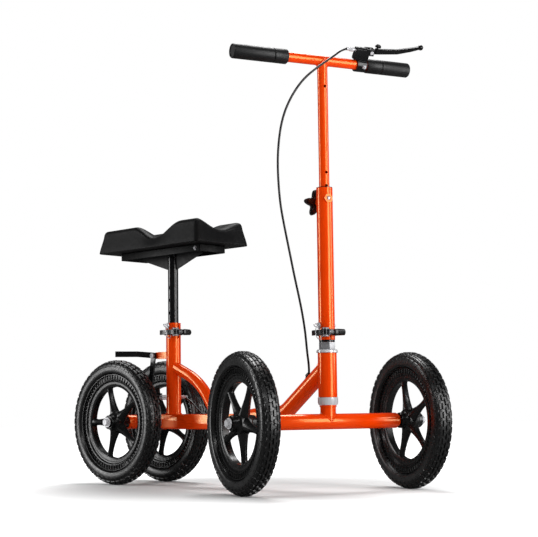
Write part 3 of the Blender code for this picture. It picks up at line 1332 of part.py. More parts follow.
def make_yoke(frame):
    """Two flat bars over the rear tyres, joined by a bridge, with the arm and cable anchor."""
    pivot = yoke_pivot()
    half = YOKE_BAR_THICKNESS / 2.0
    right_route = [(x, -y) for x, y in YOKE_BAR_ROUTE]
    yoke = add_piece("brake_yoke", yoke_bar("body", right_route, half), "black_paint",
                     frame, pivot)
    join(yoke, yoke_bar("left_bar", YOKE_BAR_ROUTE, half))
    bridge_y = 0.0100
    join(yoke, block("bridge", (-0.0130, -bridge_y, -0.005), (-0.0090, bridge_y, 0.005)))
    arm = ribbon(((0.0, 0.0), YOKE_ARM_FOOT), (0.0075, 0.006))
    lane = -YOKE_BAR_ROUTE[0][1]
    arm_thickness = YOKE_BAR_THICKNESS - 2.0 * GAP
    join(yoke, plate("arm", arm, arm_thickness), (0.0, lane, 0.0), ON_EDGE)
    line = cable_line_height() - pivot[2]
    anchor_x = YOKE_ARM_FOOT[0]
    thick = ANCHOR_THICKNESS / 2.0
    right = lane
    left = ANCHOR_LEFT_REACH
    outline = [(right, line - 0.003), (left - 0.004, line - 0.009), (left, line - 0.006),
               (left, line + 0.010), (right, line + 0.013)]
    anchor = plate("anchor", outline, 2.0 * thick)
    stand = (math.radians(90.0), 0.0, math.radians(90.0))
    join(yoke, anchor, (anchor_x, 0.0, 0.0), stand)
    bolt_hole = bore(YOKE_BOLT_RADIUS, TURN_FIT, ROD_STEPS)
    cut(yoke, rod("bolt_hole", bolt_hole, -0.03, 0.03), rotation=ALONG_Y)
    wire_hole = bore(WIRE_RADIUS, GAP, HOLE_STEPS)
    cut(yoke, rod("wire_hole", wire_hole, anchor_x - 0.01, anchor_x + 0.01, HOLE_STEPS),
        (0.0, CABLE_LINE_Y, line), ALONG_X)


def yoke_bar(name, route, half):
    """One flat bar of the yoke, standing on edge and rising a little towards its end."""
    mesh = plate(name, ribbon(route, [half] * len(route)), YOKE_BAR_HEIGHT)
    bend = -YOKE_BAR_ROUTE[2][0]
    for vertex in mesh.vertices:
        share = min(max(-vertex.co.x / bend, 0.0), 1.0)
        vertex.co.z += YOKE_BAR_RISE * share
    return mesh


# Wheels

def rim_mesh():
    """Five-spoke rim: a deep ring, a hub with its bearing faces and ridged spokes."""
    half = RIM_HALF_WIDTH
    seat = half - 0.003
    inner = half - 0.006
    profile = ((RIM_RADIUS, seat), (RIM_RADIUS, -seat), (RIM_RADIUS - 0.004, -half),
               (RIM_INNER_RADIUS, -inner), (RIM_INNER_RADIUS, inner),
               (RIM_RADIUS - 0.004, half))
    rim = bpy.data.objects.new("rim_pattern", turned("rim_ring", profile, WHEEL_STEPS, ring=True))
    bpy.context.scene.collection.objects.link(rim)
    for number in range(SPOKES):
        angle = 2.0 * math.pi * number / SPOKES
        join(rim, spoke_mesh(), rotation=(0.0, 0.0, angle))
    hole = bore(AXLE_BOLT_RADIUS, TURN_FIT, HUB_STEPS)
    hub = ((HUB_BOSS_RADIUS, HUB_BOSS_HALF_LENGTH), (HUB_BOSS_RADIUS, HUB_HALF_LENGTH),
           (HUB_RADIUS - 0.004, HUB_HALF_LENGTH), (HUB_RADIUS, HUB_HALF_LENGTH * 0.5))
    hub += tuple((radius, -height) for radius, height in reversed(hub))
    join(rim, turned("hub", hub_with_axis(hub), HUB_STEPS))
    reach = HUB_BOSS_HALF_LENGTH + 0.01
    cut(rim, rod("axle_hole", hole, -reach, reach, HUB_STEPS))
    bpy.context.scene.collection.objects.unlink(rim)
    return mesh_from_object(rim, "rim")


def hub_with_axis(outline):
    """Close a hub profile to the axis at both ends."""
    return ((0.0, outline[0][1]),) + outline + ((0.0, outline[-1][1]),)


def spoke_mesh():
    """A tapered six-sided spoke along X, its ridge facing outwards."""
    start = HUB_RADIUS - 0.006
    end = RIM_INNER_RADIUS + 0.004
    work = bmesh.new()
    lay = Matrix.Rotation(math.radians(90.0), 4, "Y")
    middle = Matrix.Translation(((start + end) / 2.0, 0.0, 0.0))
    bmesh.ops.create_cone(work, cap_ends=True, segments=6, radius1=SPOKE_WIDTH_IN,
                          radius2=SPOKE_WIDTH_OUT, depth=end - start, matrix=middle @ lay)
    for vertex in work.verts:
        vertex.co.z *= SPOKE_DEPTH
    mesh = bpy.data.meshes.new("spoke")
    work.to_mesh(mesh)
    work.free()
    return shade(mesh)


def tyre_mesh():
    """Tyre with three rows of staggered tread blocks; a block's flat meets the ground."""
    flat = math.cos(math.pi / WHEEL_STEPS)
    tread = (WHEEL_RADIUS - KNOB_RISE) / flat
    wide = TYRE_HALF_WIDTH
    inner = TYRE_INNER_RADIUS
    side = ((tread, TREAD_STRIP), (tread - 0.0014, TREAD_SHOULDER),
            (tread - 0.0090, wide - 0.0012), (tread - 0.0190, wide), (inner, wide - 0.0070))
    profile = tuple(reversed(side)) + tuple((radius, -height) for radius, height in side)
    mesh = turned("tyre", profile, WHEEL_STEPS, ring=True)
    work = bmesh.new()
    work.from_mesh(mesh)
    bmesh.ops.recalc_face_normals(work, faces=work.faces)
    blocks = [face for face in work.faces if is_tread_block(face, tread)]
    bmesh.ops.inset_individual(work, faces=blocks, thickness=KNOB_INSET)
    for face in blocks:
        bmesh.ops.translate(work, verts=face.verts, vec=face.normal * KNOB_RISE)
    work.to_mesh(mesh)
    work.free()
    mesh.set_sharp_from_angle(angle=SHARP_ANGLE)
    return mesh


def is_tread_block(face, tread):
    """Pick every other face of the middle row, and the ones between them at the shoulders."""
    centre = face.calc_center_median()
    if math.hypot(centre.x, centre.y) < tread * 0.98:
        return False
    angle = math.degrees(math.atan2(centre.y, centre.x))
    sector = math.floor(angle % 360.0 / (360.0 / WHEEL_STEPS))
    in_middle = abs(centre.z) < TREAD_STRIP
    return (sector % 2 == 1) == in_middle


def make_wheels(frame, steering):
    """Four wheels, alike but for how far each rim has rolled."""
    tyre = tyre_mesh()
    rim = rim_mesh()
    wheels = (("rear_right", frame, -REAR_TRACK / 2.0, 180.0),
              ("rear_left", frame, REAR_TRACK / 2.0, -31.0),
              ("front_right", steering, -FRONT_TRACK / 2.0, -12.0),
              ("front_left", steering, FRONT_TRACK / 2.0, 30.0))
    for name, parent, y, spoke_angle in wheels:
        hub = new_empty("axis_" + name, parent, (0.0, y, 0.0))
        add_piece("tyre_" + name, tyre.copy(), "black_rubber", hub, rotation=ALONG_Y)
        turn = (ALONG_Y[0], math.radians(-spoke_angle), 0.0)
        add_piece("rim_" + name, rim.copy(), "black_plastic", hub, rotation=turn)


def build():
    """Put the whole walker together."""
    frame = new_empty("frame_axis", None, (REAR_AXLE_X, 0.0, WHEEL_RADIUS))
    steering = new_empty("steering_axis", frame, (WHEELBASE, 0.0, 0.0), (0.0, 0.0, REST_STEER))
    bar = new_empty("bar_axis", steering, (0.0, 0.0, BAR_HEIGHT))

    make_spine(frame)
    add_piece("rear_axle_tube", axle_tube_mesh(axle_half_length(REAR_TRACK), 0.001),
              "orange_paint", frame, rotation=ALONG_Y)
    make_seat_tube(frame)
    make_brace(frame)
    make_down_tube(frame)
    make_head(frame)
    make_brake_bracket(frame)
    make_cable_stop(frame)
    make_cable_clip(frame)
    make_clamp("seat", frame, (SEAT_X, 0.0, SEAT_TUBE_TOP - SEAT_CLAMP_BELOW_TOP), TUBE_RADIUS)
    make_pin("seat_pin", frame, (SEAT_X, 0.0, seat_pin_height()), TUBE_RADIUS)
    make_seat_post(frame)
    make_pad_tray(frame)
    make_knee_pad(frame)
    make_steering(steering)
    make_column(steering)
    make_handlebar(bar)
    make_lever_set(bar)
    make_yoke(frame)
    make_wire_and_spring(frame)
    make_cables(frame, steering)
    make_wheels(frame, steering)
    for side, word in ((-1, "right"), (1, "left")):
        make_axle_bolt("rear_axle_bolt_" + word, frame, REAR_TRACK, side)
        make_axle_bolt("front_axle_bolt_" + word, steering, FRONT_TRACK, side)


build()
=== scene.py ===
"""Looks of the knee walker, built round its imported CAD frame.

Metres, +Z up, +X forward, +Y to the rider's left, with the front axle turned to the
rider's right. Heights are measured up from the axle line unless a name says otherwise,
and the walker stands on z = 0.
"""
import json
import math
import random

import bmesh
import bpy
from mathutils import Matrix, Vector, noise

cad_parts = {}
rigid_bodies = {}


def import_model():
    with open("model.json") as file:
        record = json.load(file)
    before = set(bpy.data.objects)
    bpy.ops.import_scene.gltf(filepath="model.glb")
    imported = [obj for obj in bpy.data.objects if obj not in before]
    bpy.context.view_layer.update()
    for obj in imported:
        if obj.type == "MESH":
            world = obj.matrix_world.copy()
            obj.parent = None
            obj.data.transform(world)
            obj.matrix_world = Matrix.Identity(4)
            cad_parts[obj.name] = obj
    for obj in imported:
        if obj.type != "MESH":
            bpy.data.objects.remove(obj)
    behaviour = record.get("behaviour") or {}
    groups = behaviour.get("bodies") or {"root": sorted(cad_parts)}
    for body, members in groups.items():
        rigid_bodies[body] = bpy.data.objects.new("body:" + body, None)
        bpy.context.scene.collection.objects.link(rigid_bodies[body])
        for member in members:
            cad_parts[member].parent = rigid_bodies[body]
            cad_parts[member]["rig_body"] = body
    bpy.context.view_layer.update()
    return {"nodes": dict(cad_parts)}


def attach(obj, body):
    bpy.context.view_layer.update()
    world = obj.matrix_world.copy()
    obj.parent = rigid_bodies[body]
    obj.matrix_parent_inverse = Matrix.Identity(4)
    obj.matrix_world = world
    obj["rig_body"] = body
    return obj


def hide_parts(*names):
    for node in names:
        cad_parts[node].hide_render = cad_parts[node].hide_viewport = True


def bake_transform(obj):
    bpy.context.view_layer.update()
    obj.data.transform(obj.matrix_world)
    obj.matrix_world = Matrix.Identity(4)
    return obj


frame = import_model()


# Driving dimensions
WHEEL_RADIUS = 0.1524
WHEELBASE = 0.6254
REAR_TRACK = 0.160
FRONT_TRACK = 0.412
REST_STEER = math.radians(-20.0)
REAR_AXLE_X = -0.34484

# Fits
GAP = 0.0003
SLIDE_FIT = 0.00025
TURN_FIT = 0.0004
HOLE_FIT = 0.0004
MERGE = 0.00001
SHARP_ANGLE = math.radians(38.0)

# Directions
ORIGIN = (0.0, 0.0, 0.0)
ALONG_Y = (math.radians(-90.0), 0.0, 0.0)
ALONG_X = (0.0, math.radians(90.0), 0.0)
ON_EDGE = (math.radians(90.0), 0.0, 0.0)
UPSIDE_DOWN = (math.pi, 0.0, 0.0)

# How far a joined shape is let in, and the usual chamfer of a turned end
LET_IN = 0.001
CHAMFER = 0.001

# How far a cutting shape runs past what it cuts
OVERCUT = 0.05
SHORT_OVERCUT = 0.01
DRILL_REACH = 0.02
DRILL_SPAN = (-DRILL_REACH, DRILL_REACH)
BAR_COPE_REACH = 0.03
BRACE_COPE = (-0.05, 0.30)
HEAD_COPE = (-0.1, 0.3)
PIN_HOLE_OVERCUT = 0.005
BRACE_FOOT_CUT = 0.06

# Steps round each kind of round piece
TUBE_STEPS = 48
HUB_STEPS = 48
ROD_STEPS = 32
HOLE_STEPS = 24
PIPE_ROUND = 20
BEND_STEPS = 20
CURVE_STEPS = 12

# Frame tubes
SPINE_SIDE = 0.036
SPINE_WALL = 0.0025
SPINE_CORNER = 0.004
SPINE_START = 0.010
SPINE_LENGTH = 0.335
DOWN_TUBE_START = SPINE_START + SPINE_LENGTH + GAP
TUBE_RADIUS = 0.018
TUBE_WALL = 0.0025
AXLE_TUBE_RADIUS = 0.017
BRACE_RADIUS = 0.0135
BRACE_CORNER = (0.0990, 0.0929)
BRACE_FOOT_X = 0.149
BRACE_SLOPE = 1.483
BRACE_BEND = 0.170
BRACE_UPPER_SLOPE = 0.433
BRACE_RUN_IN = 0.016
WELD_DEPTH = 0.0012
DOWN_TUBE_LOW_RUN = 0.0547
DOWN_TUBE_LOW_HEIGHT = 0.0131
DOWN_TUBE_KNEE_HEIGHT = 0.0139
DOWN_TUBE_KNEE_BEHIND_HEAD = 0.1354
DOWN_TUBE_SLOPE = math.radians(38.2)
DOWN_TUBE_LOW_BEND = 0.150
DOWN_TUBE_KNEE_BEND = 0.080

# Seat tube, post and clamp
SEAT_X = 0.121
SEAT_PLACE = (SEAT_X, 0.0, 0.0)
SEAT_TUBE_TOP = 0.2406
SEAT_PIN_BELOW_TOP = 0.007
SEAT_PIN_HEIGHT = SEAT_TUBE_TOP - SEAT_PIN_BELOW_TOP
SEAT_CLAMP_BELOW_TOP = 0.023
SEAT_SLOT_LENGTH = 0.038
SLOT_WIDTH = 0.003
SLOT_REACH = (0.0, 0.03)
BUSHING_LENGTH = 0.062
POST_RADIUS = 0.0127
POST_WALL = 0.002
POST_BOTTOM = 0.1186
POST_HOLE_STEP = 0.0314
POST_HOLE_COUNT_EACH_WAY = 3
PIN_RADIUS = 0.003
PIN_TIP_REACH = 0.004
PIN_HEAD_RADIUS = 0.0054
PIN_HEAD = 0.0022
PULL_EYE_RADIUS = 0.0062
PULL_EYE_WIRE = 0.0011
PULL_EYE_BEHIND_HEAD = 0.0018
RING_RADIUS = 0.0052
RING_WIRE = 0.0013
LOOP_WIDTH = 0.0130
LOOP_LENGTH = 0.0290
LOOP_PINCH = 0.2
LOOP_WIRE = 0.0009

# Knee pad and its tray
TRAY_BOTTOM = 0.4041
TRAY_DEPTH = 0.0168
TRAY_TOP = TRAY_BOTTOM + TRAY_DEPTH
TRAY_REAR_X = -0.029
TRAY_LENGTH = 0.293
TRAY_FRONT_X = TRAY_REAR_X + TRAY_LENGTH
TRAY_WIDTH = 0.0848
TRAY_SHEET = 0.0025
TRAY_CORNER = 0.003
TRAY_INNER_CORNER = 0.002
TRAY_BOLT_FROM_END = 0.030
TRAY_BOLT_FROM_SIDE = 0.014
SIDE_NUT_FROM_FRONT = 0.016
SIDE_NUT_OFF_TRAY = 0.0004
GUSSET_THICKNESS = 0.004
GUSSET_REAR_X = 0.002
GUSSET_FRONT_X = 0.227
GUSSET_EDGE_DEPTH = 0.0125
GUSSET_FOOT_DEPTH = 0.0465
PAD_LENGTH = 0.371
PAD_WIDTH = 0.173
PAD_CENTRE_X = 0.117
PAD_HEIGHT = 0.060
PAD_DRAW_IN = 0.009
PAD_DRAW_POWER = 1.4
PAD_DIP_DEPTH = 0.033
PAD_DIP_X = 0.135
PAD_DIP_BEHIND = 0.074
PAD_DIP_AHEAD = 0.096
PAD_HOLLOW_DEPTH = 0.022
PAD_HOLLOW_HALF_WIDTH = 0.078
PAD_CHANNEL_FADE = 0.6
PAD_CREST_ROUND = 0.011
PAD_CREST_REACH = 0.019
PAD_LOOK_CORNER = 0.013
PAD_CROWDING = 0.85
PAD_CUTS = (90, 50, 12)
PAD_UNEVEN = 0.0005
PAD_SWELLS = (11.0, 13.0)

# Hexagon screws: radius and height of the head, radius and length of the shank
PAD_BOLT = (0.0058, 0.0042, 0.003, 0.004)
SIDE_NUT = (0.0037, 0.0030, 0.002, 0.003)
CLAMP_SCREW = (0.0034, 0.0030, 0.002, 0.004)
BOLT_WASHER = 0.0012

# Head tube and steering bearings
HEAD_RADIUS = 0.0208
HEAD_PLACE = (WHEELBASE, 0.0, 0.0)
HEAD_BORE_RADIUS = 0.0175
HEAD_BOTTOM = 0.0527
HEAD_LENGTH = 0.097
CUP_RADIUS = 0.0222
CUP_HEIGHT = 0.0164
CUP_SHOULDER = 0.3
CUP_TAPER = 0.002
CUP_SLEEVE = 0.009
TOP_CUP_RADIUS = 0.0235
TOP_CUP_HEIGHT = 0.0067
TOP_CUP_SHOULDER = 0.6
RACE_RADIUS = 0.0185
RACE_HEIGHT = 0.004
STEERER_RADIUS = 0.0143
STEERER_BORE_RADIUS = 0.0122
STEERER_TOP = 0.2476
STEERER_BORE_BOTTOM = 0.0856
STEM_RADIUS = 0.017
STEM_BOTTOM = 0.006
LOCKNUT_RADIUS = 0.018
LOCKNUT_HEIGHT = 0.0161
SPACER_RADIUS = 0.0172
SPACER_HEIGHT = 0.0042
LOCKNUT_BOTTOM = HEAD_BOTTOM + HEAD_LENGTH + GAP + TOP_CUP_HEIGHT + GAP
SPACER_BOTTOM = LOCKNUT_BOTTOM + LOCKNUT_HEIGHT + GAP
COLUMN_FOOT = SPACER_BOTTOM + SPACER_HEIGHT + GAP

# Column
COLUMN_LENGTH = 0.3364
COLUMN_BORE_RADIUS = 0.0148
COLUMN_FOOT_SLOT = 0.022
COLUMN_CLAMP_ABOVE_FOOT = 0.0157
COLUMN_PIN_ABOVE_FOOT = 0.0316
COLUMN_PIN_HEIGHT = COLUMN_FOOT + COLUMN_PIN_ABOVE_FOOT
COLUMN_BUSHING_LENGTH = 0.0163
PLUNGER_BELOW_TOP = 0.0248
PLUNGER_HEIGHT = COLUMN_FOOT + COLUMN_LENGTH - PLUNGER_BELOW_TOP
PLUNGER_BOSS_RADIUS = 0.0095
PLUNGER_BOSS_REACH = 0.020
PLUNGER_RADIUS = 0.0047
PLUNGER_TIP_RADIUS = 0.003
PLUNGER_HEAD = 0.0035
PLUNGER_HOLE = (0.008, 0.030)
BOSS_START_PAST_BORE = 0.0012
KNOB_BELOW_TOP = 0.0287
KNOB_BOSS_RADIUS = 0.008
KNOB_BOSS_REACH = 0.030
KNOB_RADIUS = 0.026
KNOB_LOBE = 0.0045
KNOB_LOBES = 5
KNOB_THICKNESS = 0.014
KNOB_STUD_RADIUS = 0.004
KNOB_STUD_HOLE = (-0.040, -0.008)
KNOB_HUB_RADIUS = 0.011
KNOB_HUB_SINK = 0.002
KNOB_WAIST = 0.0170
KNOB_POINTED = 1.15
KNOB_EDGE = 0.0028
KNOB_TURN = math.radians(-28.0)
BUSHING_LIP = 0.0014
LOCKNUT_TURN = math.radians(20.0)

# Inner column and handlebar
INNER_COLUMN_RADIUS = 0.0115
INNER_COLUMN_WALL = 0.0015
INNER_COLUMN_BOTTOM = 0.3176
INNER_COLUMN_TOP_BELOW_BAR = 0.0034
HEIGHT_HOLE_STEP = 0.0296
HEIGHT_HOLE_COUNT_BELOW = 4
HEIGHT_HOLE_COUNT_ABOVE = 2
HEIGHT_HOLE_REACH = (0.006, 0.014)
UPPER_HOLE_BELOW_BAR = 0.0601
BAR_HEIGHT = 0.803
BAR_RADIUS = 0.0112
BAR_WALL = 0.002
BAR_HALF_LENGTH = 0.219
GRIP_RADIUS = 0.0165
GRIP_CAP = 0.0026
GRIP_GROOVE = 0.0015
RIGHT_GRIP_LENGTH = 0.132
RIGHT_GROOVE_FROM_INNER = 0.034
LEFT_GRIP_LENGTH = 0.1106
LEFT_GROOVE_FROM_INNER = 0.0376

# Quick-release clamp, the same on the seat tube and the column
CLAMP_HEIGHT = 0.013
CLAMP_WALL = 0.004
CLAMP_EAR_REACH = 0.036
CLAMP_EAR_SPREAD = 0.009
CLAMP_EAR_ROUND = 0.002
CLAMP_EAR_START = TUBE_RADIUS + 0.0015
CLAMP_SLIT = 0.003
CLAMP_SLIT_START = TUBE_RADIUS - 0.003
CLAMP_SLIT_OVERCUT = 0.005
SKEWER_X = 0.0287
SKEWER_RADIUS = 0.003
SKEWER_WASHER_RADIUS = 0.0075
SKEWER_WASHER = 0.0027
FORK_SIZE = (0.014, 0.0132, 0.020)
FORK_WEB = 0.0014
FORK_ROUND = 0.0035
FORK_TOP = -(CLAMP_EAR_SPREAD + GAP + SKEWER_WASHER)
CAM_RADIUS = 0.0055
CAM_PIN_RADIUS = 0.0025
CAM_PIN_Y = FORK_TOP - FORK_WEB - GAP - CAM_RADIUS
LEVER_BLADE_HEIGHT = 0.0114
LEVER_BLADE_THICKNESS = 0.004
LEVER_BLADE_TAIL = 0.049
BLADE_ROUTE = ((-0.001, -0.002), (-0.012, -0.0052), (-0.026, -0.0068), (-0.040, -0.0072),
               (-LEVER_BLADE_TAIL, -0.0062))
BLADE_SHARES = (1.5, 1.0, 1.0, 1.0, 0.6)
THUMB_NUT_RADIUS = 0.008
THUMB_NUT_LENGTH = 0.0185
THUMB_NUT_RIBS = 10
THUMB_NUT_TAPER = 0.9
THUMB_NUT_GROOVE = 0.09

# Wheels
TYRE_INNER_RADIUS = 0.1189
TYRE_BEAD_HALF_WIDTH = 0.0150
TYRE_SHARP_ANGLE = math.radians(30.0)
TYRE_STEPS = 200
RIM_RADIUS = 0.118
RIM_INNER_RADIUS = 0.087
RIM_HALF_WIDTH = 0.016
KNOB_RISE = 0.0035
BLOCK_STEPS = 4
BLOCK_SLOPE = 0.0009
TREAD_DEPTH = 0.0135
RIB_COUNT = 72
RIB_DEPTH = 0.0024
RIB_BAND = (0.1050, 0.1152)
HUB_RADIUS = 0.024
HUB_HALF_LENGTH = 0.027
HUB_BOSS_RADIUS = 0.009
HUB_BOSS_HALF_LENGTH = 0.0297
HUB_FACE = HUB_HALF_LENGTH - 0.0030
SPOKES = 5
SPOKE_ROUND = 20
SPOKE_RIDGE = 1.5
VALVE_ANGLE = 0.6
AXLE_BOLT_RADIUS = 0.006
AXLE_WASHER_RADIUS = 0.012
AXLE_WASHER = 0.0025
AXLE_HEAD_RADIUS = 0.0082
AXLE_HEAD = 0.006
AXLE_BORE_DEPTH = 0.035
AXLE_BOLT_SHORT_OF_FLOOR = 0.001
REAR_AXLE_END_ROUND = 0.001
FRONT_AXLE_END_ROUND = 0.004

# Each half of the tyre's section as (depth below the blocks' feet, distance from the middle)
TYRE_SECTION = ((0.0, 0.0008), (0.0001, 0.0070), (0.0006, 0.0086), (0.0017, 0.0136),
                (0.0023, 0.0148), (0.0060, 0.0187), (0.0072, 0.0195), (0.0132, 0.0212),
                (0.0150, 0.0214), (0.0190, 0.0215), (0.0235, 0.0211), (0.0262, 0.0202),
                (0.0270, 0.0190), (0.0285, 0.0176))

# Rows of tread blocks: from and to, distance from the middle; shift of the left and the right
# side in steps; rise
TREAD_ROWS = ((0.0008, 0.0070, BLOCK_STEPS // 2, 0, KNOB_RISE), (0.0086, 0.0136, 0, 0, 0.0022),
              (0.0148, 0.0187, 1, 1, 0.0018), (0.0195, 0.0212, 0, 0, 0.0011))

# Halves of turned sections as (radius, distance from the middle), from the outside in
RIM_SECTION = ((RIM_RADIUS, 0.0130), (RIM_RADIUS - 0.0004, RIM_HALF_WIDTH),
               (RIM_RADIUS - 0.0018, RIM_HALF_WIDTH), (RIM_RADIUS - 0.0026, 0.0142),
               (0.1150, 0.0132), (0.1056, 0.0132), (0.1046, 0.0138), (0.1030, 0.0136),
               (0.1000, 0.0098), (0.0975, 0.0092), (0.0950, 0.0098), (0.0925, 0.0092),
               (0.0890, 0.0086), (RIM_INNER_RADIUS, 0.0074))
HUB_SECTION = ((HUB_BOSS_RADIUS, HUB_BOSS_HALF_LENGTH), (HUB_BOSS_RADIUS, HUB_FACE),
               (0.0146, HUB_FACE), (0.0146, HUB_HALF_LENGTH),
               (0.0164, HUB_HALF_LENGTH), (0.0172, HUB_HALF_LENGTH * 0.95),
               (0.0176, HUB_HALF_LENGTH * 0.66), (0.0196, HUB_HALF_LENGTH * 0.52),
               (HUB_RADIUS, HUB_HALF_LENGTH * 0.40))

# Turned sections of small parts as (radius, height)
BEARING_SECTION = ((0.0143, 0.0022), (0.0134, 0.0024), (0.0130, 0.0014), (0.0112, 0.0014),
                   (0.0108, 0.0022), (0.0096, 0.0022), (0.0096, 0.0004), (0.0143, 0.0004))
VALVE_SECTION = ((0.0, 0.026), (0.0028, 0.026), (0.0034, 0.0250), (0.0034, 0.0165),
                 (0.0028, 0.0160), (0.0030, 0.0), (0.0, 0.0))
FERRULE_SECTION = ((0.0034, 0.010), (0.0034, 0.0005), (0.0030, 0.0), (0.0026, 0.0),
                   (0.0026, 0.010))

# A spoke's section along its length as (distance out, half width, half depth)
SPOKE_STATIONS = ((0.010, 0.0160, 0.0140), (0.022, 0.0166, 0.0130), (0.030, 0.0136, 0.0116),
                  (0.042, 0.0104, 0.0098), (0.056, 0.0082, 0.0084), (0.070, 0.0074, 0.0078),
                  (0.080, 0.0086, 0.0078), (0.086, 0.0118, 0.0080), (0.0905, 0.0160, 0.0082))

# Brake lever on the bar: distances out from the bar and along it
LEVER_TILT = math.radians(50.0)
PIVOT_ALONG = 0.112
PIVOT_OUT = 0.036
LEVER_EYE_RADIUS = 0.0066
BRACKET_INNER_END = 0.074
BRACKET_OUTER_END = 0.108
BRACKET_COLLAR_START = 0.084
BRACKET_COLLAR_RADIUS = 0.0155
BRACKET_REACH = 0.042
BRACKET_HALF_DEPTH = 0.008
BRACKET_HOUSING_START = 0.0135
BRACKET_ROUND = 0.003
LUG_OUT = (PIVOT_OUT - 0.008, PIVOT_OUT + 0.007)
LUG_ALONG = (BRACKET_OUTER_END - 0.010, PIVOT_ALONG + 0.007)
LEVER_SLOT_OUT = (PIVOT_OUT - 0.0095, PIVOT_OUT + 0.02)
LEVER_SLOT_ALONG = (PIVOT_ALONG - LEVER_EYE_RADIUS - 0.001, PIVOT_ALONG + 0.02)
WIRE_WAY_RADIUS = 0.0028
WIRE_WAY_ALONG = (BRACKET_INNER_END - 0.01, BRACKET_INNER_END + 0.012)
LEVER_PIN_RADIUS = 0.0025
LEVER_THICKNESS = 0.005
LEVER_WIDTH = 0.012
LEVER_ROUTE = ((PIVOT_ALONG, PIVOT_OUT), (0.133, 0.038), (0.180, 0.043), (0.214, 0.0525),
               (0.233, 0.0590))
LEVER_WIDTH_SHARES = (0.9, 1.0, 0.9, 0.75, 0.55)
LEVER_BALL = (0.236, 0.060)
LEVER_BALL_RADIUS = 0.0065
LOCK_BUTTON_ALONG = 0.127
LOCK_BUTTON_RADIUS = 0.007
LOCK_BUTTON_TRAVEL = 0.004
LOCK_BUTTON_HEAD = 0.005
LOCK_STEM_RADIUS = 0.002
LOCK_BOSS_RADIUS = 0.0046
LOCK_BOSS_TOP = 0.0085
ADJUSTER_LENGTH = 0.0235
ADJUSTER_RADIUS = 0.005
ADJUSTER_STUD_RADIUS = 0.0023
ADJUSTER_STUD_REACH = 0.006
ADJUSTER_NOSE_RADIUS = 0.0036
ADJUSTER_NOSE_LENGTH = 0.007
ADJUSTER_NOSE_TAPER = 0.002
LEVER_PIN_HEAD_RADIUS = 0.0043
LEVER_PIN_HEAD = 0.0018
LEVER_PIN_TAIL = 0.002

# Rear brake
YOKE_PIVOT_X = 0.0566
YOKE_PIVOT_ABOVE_TYRE = 0.0102
YOKE_PIVOT = (YOKE_PIVOT_X, 0.0, WHEEL_RADIUS + YOKE_PIVOT_ABOVE_TYRE)
YOKE_BAR_HEIGHT = 0.014
YOKE_BAR_THICKNESS = 0.005
YOKE_BAR_RISE = 0.0045
YOKE_BAR_ROUTE = ((0.0084, 0.009), (-0.0095, 0.009), (-0.0266, 0.038), (-0.0586, 0.083))
YOKE_ARM_FOOT = (-0.0155, -0.107)
YOKE_ARM_HALF_WIDTHS = (0.0075, 0.006)
BRIDGE_X = (-0.0130, -0.0090)
BRIDGE_HALF_WIDTH = 0.0100
BRIDGE_Z = (-0.005, 0.005)
YOKE_BOLT_RADIUS = 0.0039
YOKE_BOLT_HEAD_RADIUS = 0.0062
YOKE_BOLT_HEAD = 0.004
YOKE_BOLT_NUT = 0.0045
YOKE_BOLT_HOLE = (-0.03, 0.03)
BRACKET_LUG_HALF_WIDTH = 0.0062
BRACKET_LUG_HALF_HEIGHT = 0.0085
BRACKET_EYE_RADIUS = 0.0075
BRACKET_EYE_ARC = (75.0, 285.0)
BRACKET_NECK = 0.010
ANCHOR_THICKNESS = 0.006
ANCHOR_REAR_X = YOKE_PIVOT_X + YOKE_ARM_FOOT[0] - ANCHOR_THICKNESS / 2.0
CABLE_LINE_Y = 0.0228
CABLE_LINE_HEIGHT = 0.0596
CABLE_RADIUS = 0.0025
WIRE_RADIUS = 0.0009
WIRE_SHORT_OF_STOP = 0.002
NIPPLE_RADIUS = 0.0026
NIPPLE_LENGTH = 0.004
CABLE_POINT_STEP = 1.6 * CABLE_RADIUS
CABLE_EVENING = 20
SPLIT_HEIGHT = 0.600
STOP_REAR_X = 0.1075
STOP_LENGTH = 0.0255
STOP_RADIUS = 0.0045
STOP_FLANGE_RADIUS = 0.0075
STOP_FLANGE = 0.0026
SPRING_RADIUS = 0.0057
SPRING_WIRE = 0.0008
SPRING_TURNS = 14
SPRING_POINTS_PER_TURN = 8
CLIP_ALONG = 0.060
CLIP_ABOVE_TUBE = 0.0245
CLIP_SIDE_ANGLE = math.radians(10.0)
CLIP_LENGTH = 0.008
CLIP_RADIUS = 0.0047
CLIP_FOOT_HALF_WIDTH = 0.004
CLIP_FOOT_REACH = 0.012

# Corners of the yoke's cable anchor as (distance to the left, height above the cable)
ANCHOR_CORNERS = ((-0.009, -0.003), (0.026, -0.009), (0.030, -0.006), (0.030, 0.010),
                  (-0.009, 0.013))

# Weld beads
WELD_LUMP = 0.22
SEAM_OFF_ROUND_FACE = 0.0004
SEAM_OFF_FLAT_FACE = 0.0006
SQUARE_SEAM_CORNER = SPINE_SIDE * 0.62
WELD_UNEVEN = 0.08

